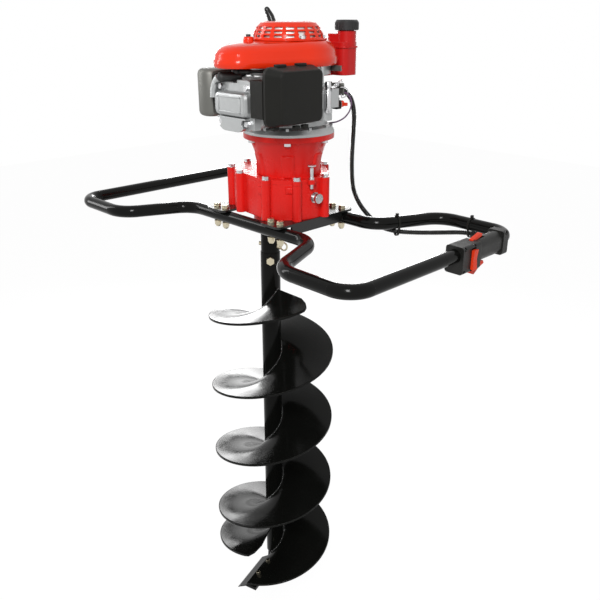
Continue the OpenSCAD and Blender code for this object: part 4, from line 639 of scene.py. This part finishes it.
sleeve_plastic = surface("black_ribbed_sleeve", (0.006, 0.006, 0.005), (0.10, 0.20), shine=0.28,
                         drift=(60, 0.15), grain=(700, 0.04), edge=0)
CONDUIT_D = 0.0105
conduit_line = smooth_route([
    # End piece and fall past the gearbox
    (0.128, 0.0865, 1.306), (0.129, 0.098, 1.302), (0.130, 0.120, 1.284), (0.125, 0.137, 1.252),
    (0.118, 0.145, 1.212), (0.115, 0.146, 1.156), (0.117, 0.146, 1.112), (0.125, 0.145, 1.079),
    # Under the rear tube's flared leg
    (0.147, 0.143, 1.051), (0.182, 0.138, 1.030), (0.218, 0.134, 1.017), (0.251, 0.143, 1.0125),
    (0.280, 0.166, 1.011), (0.306, 0.190, 1.011), (0.335, 0.217, 1.012),
    # Under its side bar and into the grip
    (0.352, 0.233, 1.0125), (0.374, 0.243, 1.013), (0.405, 0.244, 1.013), (0.434, 0.237, 1.0125),
    (0.453, 0.222, 1.012), (0.462, 0.207, 1.012), (0.463, 0.192, 1.012)], 6)
conduit_sleeve = grown(thread("conduit_line", conduit_line), ribbed, "conduit_sleeve", {
    "Ribs": 172, "Radius": CONDUIT_D / 2, "Rib Depth": 0.0015, "Smooth Share": 0.068,
    "Material": sleeve_plastic})
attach(conduit_sleeve, "machine")
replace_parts(conduit_sleeve, "control_conduit")

# Engine: die-cast aluminium crankcase, head and cam cover, a pressed steel guard over the muffler, a gloss red
# shroud over the fan with the starter on top, and a moulded red tank with a dark cap.
die_cast = surface("die_cast_aluminium", (0.41, 0.42, 0.42), (0.34, 0.50), metal=0.75, drift=(22, 0.12),
                   grain=(520, 0.16), edge=0.0012)
dress(die_cast, "crankcase", "cylinder_head", "valve_cover", "flywheel", "carburettor")
guard_sheet = surface("pressed_guard_sheet", (0.155, 0.155, 0.142), (0.36, 0.52), metal=0.6, drift=(30, 0.10),
                      grain=(500, 0.06), edge=0.0008)
dress(guard_sheet, "muffler_guard", "control_bracket", "throttle_lever", "recoil_pulley")
heat_paint = surface("heat_proof_paint", (0.03, 0.03, 0.03), (0.5, 0.7), drift=(40, 0.3), grain=(500, 0.2))
dress(heat_paint, "muffler")
shroud_red = surface("gloss_red_shroud", (0.840, 0.0330, 0.0060), (0.12, 0.22), shine=0.25, drift=(7, 0.05),
                     grain=(220, 0.02), edge=0.0015)
dress(shroud_red, "fan_shroud", "recoil_cover")
tank_red = surface("red_tank_moulding", (0.560, 0.0110, 0.0100), (0.24, 0.36), shine=0.25, drift=(12, 0.06),
                   grain=(500, 0.05), edge=0.0015)
dress(tank_red, "fuel_tank")
handle_gloss = surface("black_gloss_moulding", (0.006, 0.006, 0.006), (0.08, 0.16), shine=0.35,
                       grain=(200, 0.01))
dress(handle_gloss, "pull_handle")
cap_plastic = surface("dark_grey_cap", (0.030, 0.030, 0.031), (0.38, 0.5), shine=0.25, drift=(40, 0.12),
                      grain=(900, 0.14))
dress(cap_plastic, "fuel_cap")

# Lofted skins: the fan shroud, the starter handle and the muffler guard are each one continuous curve, drawn in
# the solids as facets. A merged copy of each is shaded smooth up to its creases and stands in for it.
MERGE_DISTANCE, CREASE = 0.00002, 34
for label, node, skin, slot, body in (
        ("shroud_skin", "fan_shroud", shroud_red, "red_paint", "machine"),
        ("handle_skin", "pull_handle", handle_gloss, "black_gloss", "pull_handle"),
        ("guard_skin", "muffler_guard", guard_sheet, "guard_steel", "machine")):
    lofted = bmesh.new()
    lofted.from_mesh(nodes[node].data)
    bmesh.ops.remove_doubles(lofted, verts=lofted.verts, dist=MERGE_DISTANCE)
    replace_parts(fitted(label, lofted, skin, body, CREASE), node)

# Leads: the plug lead in black rubber runs from the cap to the coil behind the head, and the stop switch's
# thin wire loops from the control bracket down to a flange bolt.
wire_plastic = surface("violet_wire", (0.12, 0.06, 0.13), (0.35, 0.5), shine=0.3, drift=(60, 0.2),
                       grain=(700, 0.05))
PLUG_ROUTE = [(0.07707, -0.11316, 1.348), (0.08626, -0.10545, 1.348), (0.09699, -0.09645, 1.349),
              (0.10771, -0.08745, 1.351), (0.11690, -0.07973, 1.3525)]
STOP_ROUTE = [(0.145, 0.083, 1.300), (0.152, 0.086, 1.297), (0.161, 0.087, 1.284), (0.163, 0.082, 1.267),
              (0.157, 0.073, 1.252), (0.145, 0.063, 1.243), (0.131, 0.056, 1.2398)]
for label, points, width, steps, skin, stiffness in (
        ("plug_lead", PLUG_ROUTE, 0.006, 4, seal_rubber, "medium"),
        ("stop_wire", STOP_ROUTE, 0.003, 6, wire_plastic, "limp")):
    lead_line = smooth_route(points, steps)
    lead = grown(thread(label + "_line", lead_line), ribbed, label, {
        "Ribs": len(points) * 3, "Radius": width / 2, "Rib Depth": 0.0, "Smooth Share": 1.0, "Material": skin})
    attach(lead, "machine")
    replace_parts(lead, "engine_leads")

# Valve cover border: the cover's outer face has a plain raised border round a sunk panel. It is cast in one
# with the cover, in the same aluminium.


def eased_box(bm, low, high, ease, segments=3):
    """Box between two corners with rounded edges."""
    low, high = Vector(low), Vector(high)
    fresh = bmesh.ops.create_cube(bm, size=1)["verts"]
    for v in fresh:
        v.co = (low + high) / 2 + Vector(a * b for a, b in zip(v.co, high - low))
    edges = list({e for v in fresh for e in v.link_edges})
    bmesh.ops.bevel(bm, geom=edges, offset=ease, segments=segments, profile=0.5, affect="EDGES")


def turned(bm, profile, place, along=(0, 0, 1), steps=36):
    """Solid of revolution: profile of (radius, distance) pairs from place along a direction."""
    along = Vector(along).normalized()
    side = along.orthogonal().normalized()
    other = along.cross(side)
    rings = []
    for r, d in profile:
        centre = Vector(place) + along * d
        if r <= 0:
            rings.append([bm.verts.new(centre)])
            continue
        rings.append([bm.verts.new(centre + r * (math.cos(a) * side + math.sin(a) * other))
                      for a in (2 * math.pi * k / steps for k in range(steps))])
    for low, high in zip(rings, rings[1:]):
        for k in range(steps):
            n = (k + 1) % steps
            if len(low) == 1 and len(high) > 1:
                bm.faces.new((low[0], high[n], high[k]))
            elif len(high) == 1 and len(low) > 1:
                bm.faces.new((low[k], low[n], high[0]))
            elif len(low) > 1:
                bm.faces.new((low[k], low[n], high[n], high[k]))


def drawn(bm, line, radius, sides=10):
    """Round wire along a line, closed at both ends."""
    line = [Vector(p) for p in line]
    side = (line[1] - line[0]).orthogonal().normalized()
    rings = []
    for i, spot in enumerate(line):
        along = (line[min(i + 1, len(line) - 1)] - line[max(i - 1, 0)]).normalized()
        side = (side - along * side.dot(along)).normalized()
        other = along.cross(side)
        rings.append([bm.verts.new(spot + radius * (math.cos(a) * side + math.sin(a) * other))
                      for a in (2 * math.pi * k / sides for k in range(sides))])
    for low, high in zip(rings, rings[1:]):
        for k in range(sides):
            n = (k + 1) % sides
            bm.faces.new((low[k], low[n], high[n], high[k]))
    bm.faces.new(rings[0][::-1])
    bm.faces.new(rings[-1])


cover_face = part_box("valve_cover")[0]
border = bmesh.new()
BORDER_W, BORDER_H, BORDER_BAR, BORDER_RISE = 0.034, 0.0155, 0.003, 0.0010
border_x, border_z = ENGINE_X + 0.005, 1.290
for low, high in (((-BORDER_W, BORDER_H - BORDER_BAR), (BORDER_W, BORDER_H)),
                  ((-BORDER_W, -BORDER_H), (BORDER_W, -BORDER_H + BORDER_BAR)),
                  ((-BORDER_W, -BORDER_H), (-BORDER_W + BORDER_BAR, BORDER_H)),
                  ((BORDER_W - BORDER_BAR, -BORDER_H), (BORDER_W, BORDER_H))):
    eased_box(border, (border_x + low[0], cover_face.y - BORDER_RISE, border_z + low[1]),
              (border_x + high[0], cover_face.y + BORDER_RISE, border_z + high[1]), 0.0006, 2)
fitted("valve_cover_border", border, die_cast)

# Air cleaner catches: two black moulded hooks on the rim hold the cover on its backing box, and three tabs
# under it locate its lower edge. They are moulded with the cover.
rim_low, rim_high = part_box("air_cleaner_cover")
catches = bmesh.new()
for y in (-0.118, -0.066):
    eased_box(catches, (rim_low.x - 0.001, y - 0.011, rim_high.z - 0.002),
              (rim_low.x + 0.012, y + 0.011, rim_high.z + 0.004), 0.0016)
for y, depth in ((-0.134, 0.012), (-0.100, 0.034), (-0.078, 0.034)):
    eased_box(catches, (rim_low.x + depth - 0.010, y - 0.007, rim_low.z - 0.006),
              (rim_low.x + depth, y + 0.007, rim_low.z + 0.003), 0.0018)
fitted("air_cleaner_catches", catches, shell_plastic)

# Carburettor linkage: a turned steel stem beside the carburettor, the bent governor rod that reaches over it
# and the looped end of the throttle cable, all of bright plated steel.
STEM_PROFILE = [(0, 0), (0.0052, 0), (0.0060, 0.001), (0.0060, 0.040), (0.0045, 0.043), (0.0045, 0.048),
                (0.0062, 0.049), (0.0062, 0.057), (0.0050, 0.059), (0, 0.059)]
ROD_ROUTE = [(0.155, 0.064, 1.321), (0.155, 0.064, 1.325), (0.158, 0.060, 1.327), (0.170, 0.040, 1.326),
             (0.178, 0.018, 1.322), (0.179, 0.012, 1.316), (0.179, 0.012, 1.310)]
LOOP_ROUTE = [(0.150, 0.066, 1.312), (0.154, 0.078, 1.310), (0.152, 0.086, 1.300), (0.146, 0.086, 1.292),
              (0.143, 0.078, 1.290), (0.146, 0.072, 1.298)]
linkage = bmesh.new()
turned(linkage, STEM_PROFILE, (0.1800, -0.003, 1.270))
drawn(linkage, smooth_route(ROD_ROUTE, 4), 0.0012)
drawn(linkage, smooth_route(LOOP_ROUTE, 5), 0.0011)
fitted("carburettor_linkage", linkage, bright_steel)

# Tank bracket and tap block: a pressed strip under the shroud that carries the tank, and the black moulded
# block of the fuel tap that is screwed to the carburettor.
strip = bmesh.new()
eased_box(strip, (0.124, 0.0545, 1.344), (0.160, 0.0575, 1.355), 0.0008)
eased_box(strip, (0.124, 0.0555, 1.3445), (0.150, 0.0700, 1.3470), 0.0008)
fitted("tank_bracket", strip, guard_sheet)
tap_block = bmesh.new()
eased_box(tap_block, (0.160, 0.030, 1.273), (0.174, 0.045, 1.290), 0.0020)
TAP_NECK = [(0, 0), (0.0050, 0), (0.0050, 0.0050), (0.0040, 0.0060), (0, 0.0060)]
turned(tap_block, TAP_NECK, (0.167, 0.0375, 1.2895))
fitted("fuel_tap_block", tap_block, shell_plastic)

# Return spring of the throttle lever: a close coil of bright spring wire, hooked between the lever and the
# carburettor.
COIL_TURNS, COIL_STEPS, COIL_R = 14, 12, 0.0026
coil = bmesh.new()
coil_a, coil_b = Vector((0.149, 0.060, 1.322)), Vector((0.172, 0.030, 1.318))
coil_way = (coil_b - coil_a).normalized()
coil_side = coil_way.orthogonal().normalized()
coil_other = coil_way.cross(coil_side)
coil_line = []
for k in range(COIL_TURNS * COIL_STEPS + 1):
    angle = 2 * math.pi * k / COIL_STEPS
    around = math.cos(angle) * coil_side + math.sin(angle) * coil_other
    coil_line.append(coil_a + (coil_b - coil_a) * (k / (COIL_TURNS * COIL_STEPS)) + COIL_R * around)
drawn(coil, coil_line, 0.0005, 6)
fitted("throttle_return_spring", coil, bright_steel)

# Shroud boss: a short pillar beside the recoil cover, pressed up from the shroud and painted with it. A dark
# screw goes down through it into the crankcase.
BOSS_PROFILE = [(0, 0), (0.0105, 0), (0.0100, 0.006), (0.0092, 0.0105), (0.0082, 0.0120), (0, 0.0120)]
SCREW_PROFILE = [(0, 0.0115), (0.0046, 0.0115), (0.0048, 0.0150), (0.0040, 0.0162), (0, 0.0162)]
boss_spot = (ENGINE_X - 0.020, -0.088, 1.398)
pillar = bmesh.new()
turned(pillar, BOSS_PROFILE, boss_spot)
fitted("shroud_boss", pillar, shroud_red)
pillar_screw = bmesh.new()
turned(pillar_screw, SCREW_PROFILE, boss_spot)
fitted("shroud_boss_screw", pillar_screw, heat_paint)

# Starter screen: a thin band of zinc-plated sheet behind the recoil cover's slots, rolled to their slope. It
# keeps grass out of the fan.
screen_sheet = surface("zinc_screen", (0.72, 0.72, 0.70), (0.32, 0.46), metal=0.55, drift=(50, 0.10),
                       grain=(700, 0.05))
SCREEN_PROFILE = [(0.0670, 0.0005), (0.0643, 0.0110), (0.0565, 0.0315), (0.0559, 0.0311), (0.0637, 0.0110),
                  (0.0664, 0.0005), (0.0670, 0.0005)]
screen = bmesh.new()
turned(screen, SCREEN_PROFILE, (ENGINE_X, 0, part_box("recoil_cover")[0].z + 0.010), steps=72)
fitted("starter_screen", screen, screen_sheet)
